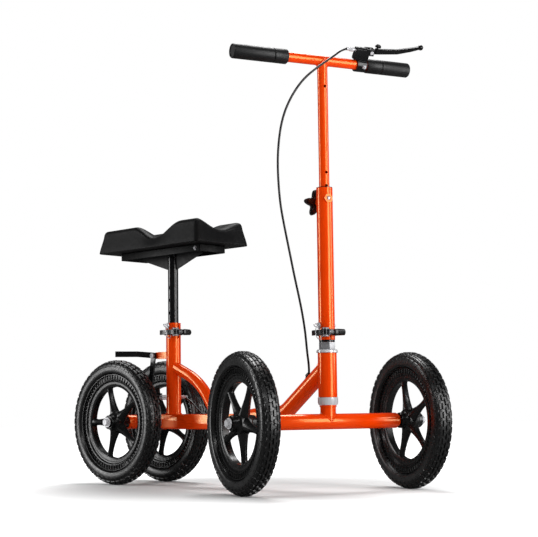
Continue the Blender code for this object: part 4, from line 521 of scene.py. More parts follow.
# Front cable route, in the steered frame: forward, left, height above the ground
FRONT_CABLE_ROUTE = (
    (0.0231, 0.0501, 0.9830),
    (0.0231, 0.0445, 0.9830),
    (0.0280, 0.0330, 0.9780),
    (0.0400, 0.0140, 0.9620),
    (0.0460, -0.0190, 0.9390),
    (0.0460, -0.0490, 0.9170),
    (0.0420, -0.0725, 0.8950),
    (0.0360, -0.0950, 0.8610),
    (0.0290, -0.1100, 0.8260),
    (0.0220, -0.1180, 0.7870),
    (0.0110, -0.1200, 0.7200),
    (-0.0030, -0.1090, 0.6350),
    (-0.0120, -0.0940, 0.5770),
    (-0.0200, -0.0775, 0.5190),
    (-0.0270, -0.0640, 0.4720),
    (-0.0360, -0.0440, 0.4050),
    (-0.0440, -0.0300, 0.3470),
    (-0.0505, -0.0225, 0.2960),
    (-0.0508, -0.0170, 0.2730),
    (-0.0530, -0.0148, 0.2603),
    (-0.0566, -0.0161, 0.2572),
)

# Rear cable route, in the frame: forward of the rear axle, left, height above the ground
REAR_CABLE_ROUTE = (
    (0.5599, 0.0043, 0.2519),
    (0.5560, 0.0043, 0.2488),
    (0.5490, 0.0096, 0.2395),
    (0.5361, 0.0189, 0.2163),
    (0.5188, 0.0215, 0.1898),
    (0.4930, 0.0215, 0.1735),
    (0.4550, 0.0215, 0.1665),
    (0.4000, 0.0215, 0.1640),
    (0.3500, 0.0213, 0.1565),
    (0.3000, 0.0213, 0.1510),
    (0.2550, 0.0213, 0.1515),
    (0.2220, 0.0215, 0.1585),
    (0.1965, 0.0220, 0.1714),
    (0.1740, 0.0223, 0.1890),
    (0.1560, 0.0227, 0.2045),
    (0.1388, 0.0228, 0.2120),
    (0.1333, 0.0228, 0.2120),
)

# Camera, in the frame of the rear axle but with heights from the ground
CAMERA_PLACE = (2.54982, -2.16389, 0.19243)
CAMERA_LOOK = (-0.692535, 0.714124, 0.102085)
CAMERA_RIGHT = (0.716908, 0.697052, -0.012711)
CAMERA_FOCAL_PIXELS = 1319.13
PHOTO_WIDTH = 538
SENSOR_WIDTH = 36.0
CAMERA_FAR = 60.0

# Studio: light strengths, greys, and where the floor's grey pool of painted shadow round the walker
# starts and ends to fade into white
WORLD_LIGHT = 0.12
WORLD_GLOSS = 0.06
FLOOR_REACH = 8.0
FLOOR_GREY = 0.78
FLOOR_GLOSS = 0.16
FLOOR_PAINTED_SHADOW_FADE = (0.30, 0.85)

# Lamps: azimuth in degrees from +X, height, distance, width and height of the box, power
LAMP_AIM = (0.0, 0.0, 0.45)
LAMPS = (("left_box", -138.0, 0.9, 2.6, (0.60, 2.2), 38.0),
         ("right_box", 4.0, 0.9, 2.8, (1.05, 2.2), 58.0),
         ("far_right_box", 42.0, 0.8, 2.8, (0.70, 1.6), 22.0),
         ("front_strip", -48.0, 2.3, 3.0, (2.6, 0.16), 22.0),
         ("overhead", 132.0, 2.9, 1.0, (1.4, 1.4), 64.0))

# Finishes: what each differs in from new_surface()'s ordinary one
MOTTLE_RANGE = (0.3, 0.7)
LOOKS = {
    "orange_paint": dict(colour=(0.82, 0.046, 0.0003), roughness=0.20, coat=0.12, shine=1.0,
                         glint=(1.0, 0.56, 0.16), tint=0.015, tint_scale=6.0, rough_spread=0.02,
                         grain_scale=240.0, grain_depth=0.000006),
    "black_paint": dict(colour=(0.0035, 0.0035, 0.0040), roughness=0.20, tint=0.2,
                        rough_spread=0.03, grain_scale=240.0, grain_depth=0.000006),
    "dull_black": dict(colour=(0.0030, 0.0030, 0.0034), roughness=0.42, shine=0.12, tint=0.2,
                       grain_scale=240.0, grain_depth=0.000006),
    "tyre_rubber": dict(colour=(0.0040, 0.0040, 0.0043), roughness=0.32, shine=0.60, tint=0.30,
                        tint_scale=40.0, rough_spread=0.08, grain_scale=1400.0,
                        grain_depth=0.00004),
    "grip_rubber": dict(colour=(0.0060, 0.0060, 0.0064), roughness=0.44, shine=0.40, tint=0.2,
                        grain_scale=1800.0, grain_depth=0.00004, cells=True),
    "cable_jacket": dict(colour=(0.0050, 0.0050, 0.0055), roughness=0.30, shine=0.40, tint=0.2,
                         grain_scale=800.0),
    "black_plastic": dict(colour=(0.0035, 0.0035, 0.0040), roughness=0.26, shine=0.42, tint=0.2,
                          grain_scale=1500.0, grain_depth=0.000006),
    "rim_plastic": dict(colour=(0.0035, 0.0035, 0.0038), roughness=0.26, shine=0.42, tint=0.25,
                        grain_scale=1300.0, grain_depth=0.000006),
    "black_vinyl": dict(colour=(0.0022, 0.0022, 0.0025), roughness=0.52, shine=0.12, tint=0.35,
                        tint_scale=60.0, rough_spread=0.08, grain_scale=700.0,
                        grain_depth=0.00016, cells=True),
    "zinc": dict(colour=(0.54, 0.54, 0.56), roughness=0.28, metallic=0.14, shine=0.30,
                 rough_spread=0.08, grain_scale=1200.0, grain_depth=0.00001),
    "nut_steel": dict(colour=(0.24, 0.24, 0.25), roughness=0.24, metallic=0.30, tint=0.12,
                      rough_spread=0.06, grain_scale=1200.0, grain_depth=0.00001),
    "dark_zinc": dict(colour=(0.14, 0.14, 0.15), roughness=0.30, metallic=0.20, tint=0.15,
                      shine=0.40, rough_spread=0.06, grain_scale=1200.0, grain_depth=0.00001),
    "chrome": dict(colour=(0.56, 0.56, 0.58), roughness=0.18, metallic=0.20, shine=0.40,
                   tint=0.05, rough_spread=0.04, grain_depth=0.000006),
}
GUSSET_CLEAR = 0.0012

# How much the real edges of a piece are rounded
BEVELS = {
    "spine_tube": 0.0006, "seat_tube": 0.0006, "head_tube": 0.0006, "outer_column": 0.0006,
    "seat_post": 0.0006, "pad_tray": 0.0008, "inner_column": 0.0004, "handlebar": 0.0005,
    "brake_yoke": 0.0007, "brake_bracket": 0.0006, "brake_lever": 0.0012,
    "lever_bracket": 0.0008, "headset_locknut": 0.0007, "star_knob": 0.0010,
    "cable_clip": 0.0004, "cable_stop": 0.0003,
}
for clamp in ("seat_clamp", "column_clamp"):
    BEVELS.update({clamp + "_collar": 0.0006, clamp + "_lever": 0.0009,
                   clamp + "_skewer": 0.0004, clamp + "_nut": 0.0005})

WORK = bpy.data.collections.new("walker_work")
bpy.context.scene.collection.children.link(WORK)
PIECES = {}
EXTRAS = {}


def place_camera():
    """Stand the camera where the photograph was taken from."""
    look = Vector(CAMERA_LOOK).normalized()
    right = Vector(CAMERA_RIGHT).normalized()
    up = right.cross(look)
    turn = Matrix((right, up, -look)).transposed()
    lens = bpy.data.cameras.new("camera")
    lens.lens = CAMERA_FOCAL_PIXELS / PHOTO_WIDTH * SENSOR_WIDTH
    lens.sensor_width = SENSOR_WIDTH
    lens.clip_end = CAMERA_FAR
    camera = bpy.data.objects.new("camera", lens)
    bpy.context.scene.collection.objects.link(camera)
    place = Vector(CAMERA_PLACE) + Vector((REAR_AXLE_X, 0.0, 0.0))
    camera.matrix_world = Matrix.Translation(place) @ turn.to_4x4()
    bpy.context.scene.camera = camera


# Placing pieces

def new_empty(name, parent=None, location=ORIGIN, rotation=ORIGIN):
    """Add an empty that carries pieces while they are built."""
    empty = bpy.data.objects.new(name, None)
    empty.parent = parent
    empty.location = location
    empty.rotation_euler = rotation
    WORK.objects.link(empty)
    return empty


def add_piece(name, mesh, finish, parent, location=ORIGIN, rotation=ORIGIN):
    """Add one piece to be finished by settle()."""
    piece = bpy.data.objects.new(name + "_look", mesh)
    piece.parent = parent
    piece.location = location
    piece.rotation_euler = rotation
    WORK.objects.link(piece)
    PIECES[name] = (piece, finish)
    return piece


def add_turned(name, profile, finish, parent, location=ORIGIN, rotation=ORIGIN,
               steps=ROD_STEPS, closed=False):
    """Add one piece turned from a profile."""
    body = turned("body", profile, steps, closed)
    return add_piece(name, body, finish, parent, location, rotation)


def add_extra(name, mesh, finish, body, parent, location=ORIGIN, rotation=ORIGIN):
    """Add a small piece that has no CAD node and rides on a body."""
    add_piece(name, mesh, finish, parent, location, rotation)
    EXTRAS[name] = body


def add_tool(piece, mesh, operation, location, rotation):
    """Cut a piece with a mesh, or join a mesh to it, in the piece's own frame."""
    tool = bpy.data.objects.new(piece.name + "_" + mesh.name, mesh)
    tool.parent = piece
    tool.location = location
    tool.rotation_euler = rotation
    WORK.objects.link(tool)
    boolean = piece.modifiers.new(tool.name, "BOOLEAN")
    boolean.operation = operation
    boolean.solver = "EXACT"
    boolean.object = tool


def cut(piece, mesh, location=ORIGIN, rotation=ORIGIN):
    """Take a shape out of a piece."""
    add_tool(piece, mesh, "DIFFERENCE", location, rotation)


def join(piece, mesh, location=ORIGIN, rotation=ORIGIN):
    """Weld a shape to a piece."""
    add_tool(piece, mesh, "UNION", location, rotation)


def drill(piece, radius, clearance, location=ORIGIN, rotation=ORIGIN, span=DRILL_SPAN,
          steps=ROD_STEPS):
    """Cut a hole that a round piece fits with a clearance, over a span of its own axis."""
    cut(piece, rod("hole", bore(radius, clearance, steps), *span, steps), location, rotation)


def drill_for_pin(piece, height):
    """Cut the cross hole of a locking pin right through a tube."""
    reach = TUBE_RADIUS + PIN_HOLE_OVERCUT
    drill(piece, PIN_RADIUS, HOLE_FIT, (0.0, 0.0, height), ALONG_Y, (-reach, reach), HOLE_STEPS)


def cope(piece, radius, reach, location=ORIGIN, rotation=ORIGIN):
    """Hollow a piece where it lies against a round tube."""
    cut(piece, rod("cope", radius, -reach, reach, TUBE_STEPS), location, rotation)


# Shapes

def bore(radius, clearance, steps):
    """Radius of a faceted hole whose flats clear a round piece."""
    return (radius + clearance) / math.cos(math.pi / steps)


def shade(mesh):
    """Smooth a mesh but keep its real edges."""
    mesh.shade_smooth()
    mesh.set_sharp_from_angle(angle=SHARP_ANGLE)
    return mesh


def made_mesh(name, work):
    """Turn finished mesh work into a mesh."""
    mesh = bpy.data.meshes.new(name)
    work.to_mesh(mesh)
    work.free()
    return mesh


def merge_doubles(mesh):
    """Merge a mesh's doubled points and turn its faces outward."""
    work = bmesh.new()
    work.from_mesh(mesh)
    bmesh.ops.remove_doubles(work, verts=work.verts, dist=MERGE)
    bmesh.ops.recalc_face_normals(work, faces=work.faces)
    work.to_mesh(mesh)
    work.free()


def mesh_from_object(temporary, name):
    """Turn a temporary object into a merged mesh and remove the object."""
    bpy.context.scene.collection.objects.link(temporary)
    bpy.context.view_layer.update()
    graph = bpy.context.evaluated_depsgraph_get()
    mesh = bpy.data.meshes.new_from_object(temporary.evaluated_get(graph))
    mesh.name = name
    bpy.data.objects.remove(temporary, do_unlink=True)
    merge_doubles(mesh)
    return shade(mesh)


def turned(name, profile, steps, closed=False):
    """Turn a profile of (radius, height) points about Z, listed down the outer side."""
    edges = [(index, index + 1) for index in range(len(profile) - 1)]
    if closed:
        edges.append((len(profile) - 1, 0))
    outline = bpy.data.meshes.new(name + "_profile")
    outline.from_pydata([(radius, 0.0, height) for radius, height in profile], edges, [])
    temporary = bpy.data.objects.new(name + "_profile", outline)
    screw = temporary.modifiers.new("Turn", "SCREW")
    screw.axis = "Z"
    screw.steps = steps
    screw.render_steps = steps
    screw.use_merge_vertices = True
    screw.merge_threshold = MERGE
    return mesh_from_object(temporary, name)


def ring(name, outer, inner, bottom, top, steps=TUBE_STEPS):
    """A plain round tube."""
    return turned(name, ((outer, top), (outer, bottom), (inner, bottom), (inner, top)), steps, True)


def mirrored(half):
    """Both halves of a profile that is the same above and below, from its upper half down."""
    return tuple(half) + tuple((radius, -height) for radius, height in reversed(half))


def cone(work, steps, low_radius, high_radius, bottom, top, lay=Matrix.Identity(4)):
    """Add a round bar or a cone to mesh work, laid over by a turn."""
    middle = lay @ Matrix.Translation((0.0, 0.0, (bottom + top) / 2.0))
    bmesh.ops.create_cone(work, cap_ends=True, segments=steps, radius1=low_radius,
                          radius2=high_radius, depth=top - bottom, matrix=middle)


def rod(name, radius, bottom, top, steps=ROD_STEPS):
    """A plain round bar along Z."""
    work = bmesh.new()
    cone(work, steps, radius, radius, bottom, top)
    return shade(made_mesh(name, work))


def block(name, span_x, half_y, span_z, bevel=0.0, along=0):
    """A box centred sideways, with the edges along one axis bevelled."""
    low = Vector((span_x[0], -half_y, span_z[0]))
    high = Vector((span_x[1], half_y, span_z[1]))
    work = bmesh.new()
    size = Matrix.Diagonal((*(high - low), 1.0))
    bmesh.ops.create_cube(work, size=1.0, matrix=Matrix.Translation((low + high) / 2.0) @ size)
    if bevel:
        edges = [edge for edge in work.edges if runs_along(edge, along)]
        bmesh.ops.bevel(work, geom=edges, offset=bevel, segments=2, profile=0.5,
                        affect="EDGES")
    return shade(made_mesh(name, work))


def runs_along(edge, axis):
    """Tell whether an edge runs along an axis, given as 0, 1 or 2."""
    span = edge.verts[1].co - edge.verts[0].co
    return abs(span[axis]) > 0.99 * span.length


def plate(name, outline, thickness):
    """A flat outline in XY, extruded evenly to both sides of the plane."""
    curve = bpy.data.curves.new(name + "_outline", "CURVE")
    curve.dimensions = "2D"
    curve.fill_mode = "BOTH"
    curve.extrude = thickness / 2.0
    add_line(curve, [(x, y, 0.0) for x, y in outline], True)
    return mesh_from_object(bpy.data.objects.new(name + "_outline", curve), name)


def pipe(name, points, radius, resolution=2, closed=False, swells=()):
    """A round tube along points, with flat caps and, if swells are given, uneven in thickness."""
    curve = bpy.data.curves.new(name + "_path", "CURVE")
    curve.dimensions = "3D"
    curve.bevel_depth = radius
    curve.bevel_resolution = resolution
    curve.use_fill_caps = not closed
    line = add_line(curve, points, closed)
    for point, swell in zip(line.points, swells):
        point.radius = swell
    return mesh_from_object(bpy.data.objects.new(name + "_path", curve), name)


def add_line(curve, points, closed):
    """Add a line through points to a curve."""
    line = curve.splines.new("POLY")
    line.points.add(len(points) - 1)
    for point, place in zip(line.points, points):
        point.co = (*place, 1.0)
    line.use_cyclic_u = closed
    return line


# Paths and outlines

def turn_angles(count):
    """Even angles round one full turn."""
    return [2.0 * math.pi * step / count for step in range(count)]


def ring_points(radius, height, count):
    """Points round a circle about Z."""
    return [(radius * math.cos(angle), radius * math.sin(angle), height)
            for angle in turn_angles(count)]


def bent_path(corners, bends, steps=BEND_STEPS):
    """Points along straight runs with a round bend at each inner corner."""
    corners = [Vector(corner) for corner in corners]
    points = [corners[0]]
    for index, radius in enumerate(bends):
        before, corner, after = corners[index:index + 3]
        into = (corner - before).normalized()
        out = (after - corner).normalized()
        angle = into.angle(out)
        setback = radius * math.tan(angle / 2.0)
        start = corner - into * setback
        inward = (out - into).normalized()
        centre = corner + inward * (radius / math.cos(angle / 2.0))
        spoke = start - centre
        turn_axis = into.cross(out)
        for step in range(steps + 1):
            turn = Matrix.Rotation(angle * step / steps, 3, turn_axis)
            points.append(centre + turn @ spoke)
    points.append(corners[-1])
    return points


def smooth_path(route, spacing):
    """Evenly spaced points on a smooth curve through a route's points."""
    route = [Vector(point) for point in route]
    padded = [route[0] * 2.0 - route[1]] + route + [route[-1] * 2.0 - route[-2]]
    fine = []
    for index in range(1, len(padded) - 2):
        before, start, end, after = padded[index - 1:index + 3]
        for step in range(CURVE_STEPS):
            t = step / CURVE_STEPS
            fine.append(0.5 * (2.0 * start + (end - before) * t
                               + (2.0 * before - 5.0 * start + 4.0 * end - after) * t ** 2
                               + (3.0 * start - before - 3.0 * end + after) * t ** 3))
    fine.append(route[-1])
    lengths = [0.0]
    for start, end in zip(fine, fine[1:]):
        lengths.append(lengths[-1] + (end - start).length)
    count = max(2, round(lengths[-1] / spacing))
    points = []
    index = 0
    for number in range(count + 1):
        wanted = lengths[-1] * number / count
        while index < len(fine) - 2 and lengths[index + 1] < wanted:
            index += 1
        share = (wanted - lengths[index]) / (lengths[index + 1] - lengths[index])
        points.append(fine[index].lerp(fine[index + 1], share))
    return points


def ribbon(route, half_widths):
    """Outline of a flat strip along a route in the plane."""
    route = [Vector(point) for point in route]
    left = []
    right = []
    for index, point in enumerate(route):
        into = point - route[max(index - 1, 0)]
        out = route[min(index + 1, len(route) - 1)] - point
        into = into.normalized() if into.length > 0.0 else out.normalized()
        out = out.normalized() if out.length > 0.0 else into
        middle = (into + out).normalized()
        reach = half_widths[index] / max(middle.dot(out), 0.5)
        side = Vector((-middle.y, middle.x)) * reach
        left.append(point + side)
        right.append(point - side)
    return [tuple(point) for point in left + right[::-1]]


def arc(radius, start, end, steps):
    """Points on an arc about the origin of the plane, its angles in degrees."""
    points = []
    for step in range(steps + 1):
        angle = math.radians(start + (end - start) * step / steps)
        points.append((radius * math.cos(angle), radius * math.sin(angle)))
    return points


# Frame

def make_spine(frame_axis):
    """Square spine tube, coped round the rear axle tube."""
    half = SPINE_SIDE / 2.0
    end = SPINE_START + SPINE_LENGTH
    outside = block("outside", (SPINE_START, end), half, (-half, half), SPINE_CORNER, 0)
    spine = add_piece("spine_tube", outside, "orange_paint", frame_axis)
    inner = half - SPINE_WALL
    cut(spine, block("hollow", (SPINE_START - OVERCUT, end + OVERCUT), inner, (-inner, inner)))
    cope(spine, AXLE_TUBE_RADIUS + GAP, OVERCUT, rotation=ALONG_Y)


def add_axle_tube(name, track, end_round, parent):
    """Axle tube between two hubs, with a blind threaded bore for a wheel bolt at each end."""
    half_length = track / 2.0 - HUB_BOSS_HALF_LENGTH - GAP
    hole = bore(AXLE_BOLT_RADIUS, GAP, TUBE_STEPS)
    floor = half_length - AXLE_BORE_DEPTH
    radius = AXLE_TUBE_RADIUS
    half = ((0.0, floor), (hole, floor), (hole, half_length),
            (radius - end_round, half_length), (radius, half_length - 1.5 * end_round))
    add_turned(name, mirrored(half), "orange_paint", parent, rotation=ALONG_Y, steps=TUBE_STEPS)


def make_seat_tube(frame_axis):
    """Upright tube on the spine, slotted and cross-drilled at its clamped top."""
    inner = TUBE_RADIUS - TUBE_WALL
    body = ring("body", TUBE_RADIUS, inner, SPINE_SIDE / 2.0 + GAP, SEAT_TUBE_TOP)
    tube = add_piece("seat_tube", body, "orange_paint", frame_axis, SEAT_PLACE)
    slot_ends = (SEAT_TUBE_TOP - SEAT_SLOT_LENGTH, SEAT_TUBE_TOP + SHORT_OVERCUT)
    cut(tube, block("slot", SLOT_REACH, SLOT_WIDTH / 2.0, slot_ends))
    drill_for_pin(tube, SEAT_PIN_HEIGHT)
    top = SEAT_TUBE_TOP - 2.0 * GAP
    sleeve = ring("body", inner - GAP, bore(POST_RADIUS, SLIDE_FIT, TUBE_STEPS),
                  top - BUSHING_LENGTH, top)
    bushing = add_piece("seat_bushing", sleeve, "black_plastic", frame_axis, SEAT_PLACE)
    drill_for_pin(bushing, SEAT_PIN_HEIGHT)


def make_brace(frame_axis):
    """Bent brace welded to the front of the seat tube and the top of the spine."""
    spine_top = SPINE_SIDE / 2.0
    corner_x = SEAT_X + BRACE_CORNER[0]
    corner_z = BRACE_CORNER[1]
    start = (SEAT_X, 0.0, corner_z + BRACE_UPPER_SLOPE * (corner_x - SEAT_X))
    foot_x = SEAT_X + BRACE_FOOT_X
    end = (foot_x + BRACE_RUN_IN / BRACE_SLOPE, 0.0, spine_top - BRACE_RUN_IN)
    path = bent_path((start, (corner_x, 0.0, corner_z), end), (BRACE_BEND,))
    body = pipe("body", path, BRACE_RADIUS, PIPE_ROUND)
    brace = add_piece("brace_tube", body, "orange_paint", frame_axis)
    seat = rod("seat_cope", TUBE_RADIUS - WELD_DEPTH, *BRACE_COPE, 2 * HUB_STEPS)
    cut(brace, seat, SEAT_PLACE)
    reach = BRACE_FOOT_CUT
    cut(brace, block("floor", (foot_x - reach, foot_x + reach), reach,
                     (-reach, spine_top - WELD_DEPTH)))


def stretched(path, extra):
    """A path with both of its ends run on a little."""
    first = path[0] + (path[0] - path[1]).normalized() * extra
    last = path[-1] + (path[-1] - path[-2]).normalized() * extra
    return [first] + list(path[1:-1]) + [last]


def down_tube_path():
    """Centre line of the down tube, from the spine's end to the steering axis."""
    knee_x = WHEELBASE - DOWN_TUBE_KNEE_BEHIND_HEAD
    rise = DOWN_TUBE_KNEE_BEHIND_HEAD * math.tan(DOWN_TUBE_SLOPE)
    corners = ((DOWN_TUBE_START, 0.0, 0.0),
               (DOWN_TUBE_START + DOWN_TUBE_LOW_RUN, 0.0, DOWN_TUBE_LOW_HEIGHT),
               (knee_x, 0.0, DOWN_TUBE_KNEE_HEIGHT),
               (WHEELBASE, 0.0, DOWN_TUBE_KNEE_HEIGHT + rise))
    return bent_path(corners, (DOWN_TUBE_LOW_BEND, DOWN_TUBE_KNEE_BEND))


def make_down_tube(frame_axis):
    """Bent main tube, coped round the head tube."""
    path = down_tube_path()
    body = pipe("body", path, TUBE_RADIUS, PIPE_ROUND)
    tube = add_piece("down_tube", body, "orange_paint", frame_axis)
    cut(tube, pipe("hollow", stretched(path, SHORT_OVERCUT), TUBE_RADIUS - TUBE_WALL, PIPE_ROUND - 2))
    cut(tube, block("end_trim", (DOWN_TUBE_START - OVERCUT, DOWN_TUBE_START), OVERCUT,
                    (-OVERCUT, OVERCUT)))
    cut(tube, rod("head_cope", HEAD_RADIUS + GAP, *HEAD_COPE, TUBE_STEPS), HEAD_PLACE)


def make_head(frame_axis):
    """Head tube with a pressed cup at each end."""
    top = HEAD_BOTTOM + HEAD_LENGTH
    body = ring("body", HEAD_RADIUS, HEAD_BORE_RADIUS, HEAD_BOTTOM, top)
    add_piece("head_tube", body, "orange_paint", frame_axis, HEAD_PLACE)
    hole = bore(STEERER_RADIUS, GAP, TUBE_STEPS)
    sleeve = HEAD_BORE_RADIUS - GAP
    cup_top = HEAD_BOTTOM - GAP
    cup_bottom = cup_top - CUP_HEIGHT
    shoulder = cup_bottom + CUP_HEIGHT * CUP_SHOULDER
    lower = ((sleeve, cup_top + CUP_SLEEVE), (sleeve, cup_top), (CUP_RADIUS, cup_top),
             (CUP_RADIUS, shoulder), (CUP_RADIUS - CUP_TAPER, cup_bottom), (hole, cup_bottom),
             (hole, cup_top + CUP_SLEEVE))
    flange = top + GAP
    upper = ((TOP_CUP_RADIUS - CUP_TAPER, flange + TOP_CUP_HEIGHT),
             (TOP_CUP_RADIUS, flange + TOP_CUP_HEIGHT * TOP_CUP_SHOULDER),
             (TOP_CUP_RADIUS, flange), (sleeve, flange), (sleeve, flange - CUP_SLEEVE),
             (hole, flange - CUP_SLEEVE), (hole, flange + TOP_CUP_HEIGHT))
    for name, profile in (("lower_headset_cup", lower), ("upper_headset_cup", upper)):
        add_turned(name, profile, "chrome", frame_axis, HEAD_PLACE, steps=TUBE_STEPS,
                   closed=True)


def make_brake_bracket(frame_axis):
    """Lug on the back of the seat tube, with an eye for the yoke's bolt."""
    reach = SEAT_X - YOKE_PIVOT_X
    half = BRACKET_LUG_HALF_HEIGHT
    outline = arc(BRACKET_EYE_RADIUS, *BRACKET_EYE_ARC, 8)
    outline += [(BRACKET_NECK, -half), (reach, -half), (reach, half), (BRACKET_NECK, half)]
    body = plate("body", outline, 2.0 * BRACKET_LUG_HALF_WIDTH)
    bracket = add_piece("brake_bracket", body, "orange_paint", frame_axis, YOKE_PIVOT, ON_EDGE)
    drill(bracket, YOKE_BOLT_RADIUS, HOLE_FIT)
    cope(bracket, TUBE_RADIUS + GAP, OVERCUT, (reach, 0.0, 0.0), ON_EDGE)

    ear = YOKE_BAR_ROUTE[0][1] + YOKE_BAR_THICKNESS / 2.0 + GAP
    head = YOKE_BOLT_HEAD_RADIUS
    top = ear + YOKE_BOLT_HEAD
    tail = -ear - YOKE_BOLT_NUT
    bolt = ((0.0, top), (head - CHAMFER, top), (head, top - 0.0015), (head, ear),
            (YOKE_BOLT_RADIUS, ear), (YOKE_BOLT_RADIUS, -ear), (head, -ear), (head, tail),
            (0.0, tail))
    add_turned("brake_pivot_bolt", bolt, "zinc", frame_axis, YOKE_PIVOT, ALONG_Y)


def make_cable_stop(frame_axis):
    """Barrel on the seat tube's left flank that the rear housing ends in."""
    wire_hole = bore(WIRE_RADIUS, GAP, ROD_STEPS)
    profile = ((STOP_RADIUS - CHAMFER, STOP_LENGTH), (STOP_RADIUS, STOP_LENGTH - CHAMFER),
               (STOP_RADIUS, STOP_FLANGE), (STOP_FLANGE_RADIUS, STOP_FLANGE),
               (STOP_FLANGE_RADIUS, 0.0), (wire_hole, 0.0), (wire_hole, STOP_LENGTH))
    add_turned("cable_stop", profile, "zinc", frame_axis,
               (STOP_REAR_X, CABLE_LINE_Y, CABLE_LINE_HEIGHT), ALONG_X, closed=True)


def make_cable_clip(frame_axis):
    """Ring clip that holds the cable on the down tube."""
    along = Vector((math.cos(DOWN_TUBE_SLOPE), 0.0, math.sin(DOWN_TUBE_SLOPE)))
    normal = Vector((-along.z, 0.0, along.x))
    rise = CLIP_ABOVE_TUBE * math.cos(CLIP_SIDE_ANGLE)
    aside = CLIP_ABOVE_TUBE * math.sin(CLIP_SIDE_ANGLE)
    centre = (Vector(down_tube_path()[-1]) - along * CLIP_ALONG + normal * rise
              + Vector((0.0, aside, 0.0)))
    half = CLIP_LENGTH / 2.0
    body = ring("body", CLIP_RADIUS, bore(CABLE_RADIUS, GAP, ROD_STEPS), -half, half, ROD_STEPS)
    turn = (0.0, math.radians(90.0) - DOWN_TUBE_SLOPE, 0.0)
    clip = add_piece("cable_clip", body, "black_plastic", frame_axis, centre, turn)
    join(clip, block("foot", (CABLE_RADIUS + LET_IN, CLIP_FOOT_REACH), CLIP_FOOT_HALF_WIDTH,
                     (-half, half)))
    cope(clip, TUBE_RADIUS + GAP, DRILL_REACH, (rise, -aside, 0.0))


def make_axle_bolt(name, parent, track, side):
    """Hexagon bolt that holds a wheel, its shank in the axle tube."""
    outer = HUB_BOSS_HALF_LENGTH + GAP
    inner = -(outer + AXLE_BORE_DEPTH - AXLE_BOLT_SHORT_OF_FLOOR)
    washer = outer + AXLE_WASHER
    profile = ((0.0, washer), (AXLE_WASHER_RADIUS, washer), (AXLE_WASHER_RADIUS, outer),
               (AXLE_BOLT_RADIUS, outer), (AXLE_BOLT_RADIUS, inner), (0.0, inner))
    bolt = add_turned(name, profile, "zinc", parent, (0.0, side * track / 2.0, 0.0),
                      (math.radians(-90.0 * side), 0.0, 0.0))
    join(bolt, rod("head", AXLE_HEAD_RADIUS, washer - LET_IN, washer + AXLE_HEAD, 6))


# Brake wire

def make_wire_and_spring(frame_axis):
    """Bare inner wire from the stop to the yoke, inside the yoke's return spring."""
    start = ANCHOR_REAR_X - GAP
    length = STOP_REAR_X + STOP_LENGTH - WIRE_SHORT_OF_STOP - start
    profile = ((0.0, length), (WIRE_RADIUS, length), (WIRE_RADIUS, 0.0), (NIPPLE_RADIUS, 0.0),
               (NIPPLE_RADIUS, -NIPPLE_LENGTH), (0.0, -NIPPLE_LENGTH))
    add_turned("brake_wire", profile, "zinc", frame_axis,
               (start, CABLE_LINE_Y, CABLE_LINE_HEIGHT), ALONG_X)
    spring_start = ANCHOR_REAR_X + ANCHOR_THICKNESS + GAP
    path = spring_path(STOP_REAR_X - GAP - spring_start)
    add_piece("yoke_spring", pipe("body", path, SPRING_WIRE, 1), "zinc", frame_axis,
              (spring_start, CABLE_LINE_Y, CABLE_LINE_HEIGHT), ALONG_X)


def spring_path(length):
    """Centre line of the spring, its two ends run straight into what they press on."""
    straight = 2.0 * SPRING_WIRE
    count = SPRING_TURNS * SPRING_POINTS_PER_TURN
    points = [Vector((SPRING_RADIUS, 0.0, 0.0))]
    for step in range(count + 1):
        angle = 2.0 * math.pi * step / SPRING_POINTS_PER_TURN
        height = straight + (length - 2.0 * straight) * step / count
        points.append(Vector((SPRING_RADIUS * math.cos(angle), SPRING_RADIUS * math.sin(angle),
                              height)))
    points.append(Vector((SPRING_RADIUS, 0.0, length)))
    return points


# Seat

def make_seat_post(frame_axis):
    """Post with cross holes and the gusset that carries the pad tray."""
    top = TRAY_TOP - TRAY_SHEET - GAP
    body = ring("body", POST_RADIUS, POST_RADIUS - POST_WALL, POST_BOTTOM, top)
    post = add_piece("seat_post", body, "black_paint", frame_axis, SEAT_PLACE)
    holes = row_of_rods(POST_HOLE_STEP, -POST_HOLE_COUNT_EACH_WAY, POST_HOLE_COUNT_EACH_WAY,
                        bore(PIN_RADIUS, HOLE_FIT, HOLE_STEPS), *DRILL_SPAN, "X")
    cut(post, holes, (0.0, 0.0, SEAT_PIN_HEIGHT))
    rear = GUSSET_REAR_X - SEAT_X
    front = GUSSET_FRONT_X - SEAT_X
    edge = top - GUSSET_EDGE_DEPTH
    foot = top - GUSSET_FOOT_DEPTH
    outline = [(rear, top), (rear, edge), (-POST_RADIUS + LET_IN, foot),
               (POST_RADIUS - LET_IN, foot), (front, edge), (front, top)]
    join(post, plate("gusset", outline, GUSSET_THICKNESS), rotation=ON_EDGE)


def row_of_rods(step, first, last, radius, start, end, axis):
    """An upright row of crosswise rods as one mesh, each laid over about X or Y."""
    work = bmesh.new()
    lay = Matrix.Rotation(math.radians(90.0), 4, axis)
    for number in range(first, last + 1):
        place = Matrix.Translation((0.0, 0.0, step * number))
        cone(work, HOLE_STEPS, radius, radius, start, end, place @ lay)
    return made_mesh("hole_row", work)


def make_pad_tray(frame_axis):
    """Folded steel tray under the knee pad, open below."""
    half = TRAY_WIDTH / 2.0
    wall = TRAY_SHEET
    outside = block("outside", (TRAY_REAR_X, TRAY_FRONT_X), half, (TRAY_BOTTOM, TRAY_TOP),
                    TRAY_CORNER, 2)
    tray = add_piece("pad_tray", outside, "dull_black", frame_axis)
    cut(tray, block("hollow", (TRAY_REAR_X + wall, TRAY_FRONT_X - wall), half - wall,
                    (TRAY_BOTTOM - SHORT_OVERCUT, TRAY_TOP - wall), TRAY_INNER_CORNER, 2))


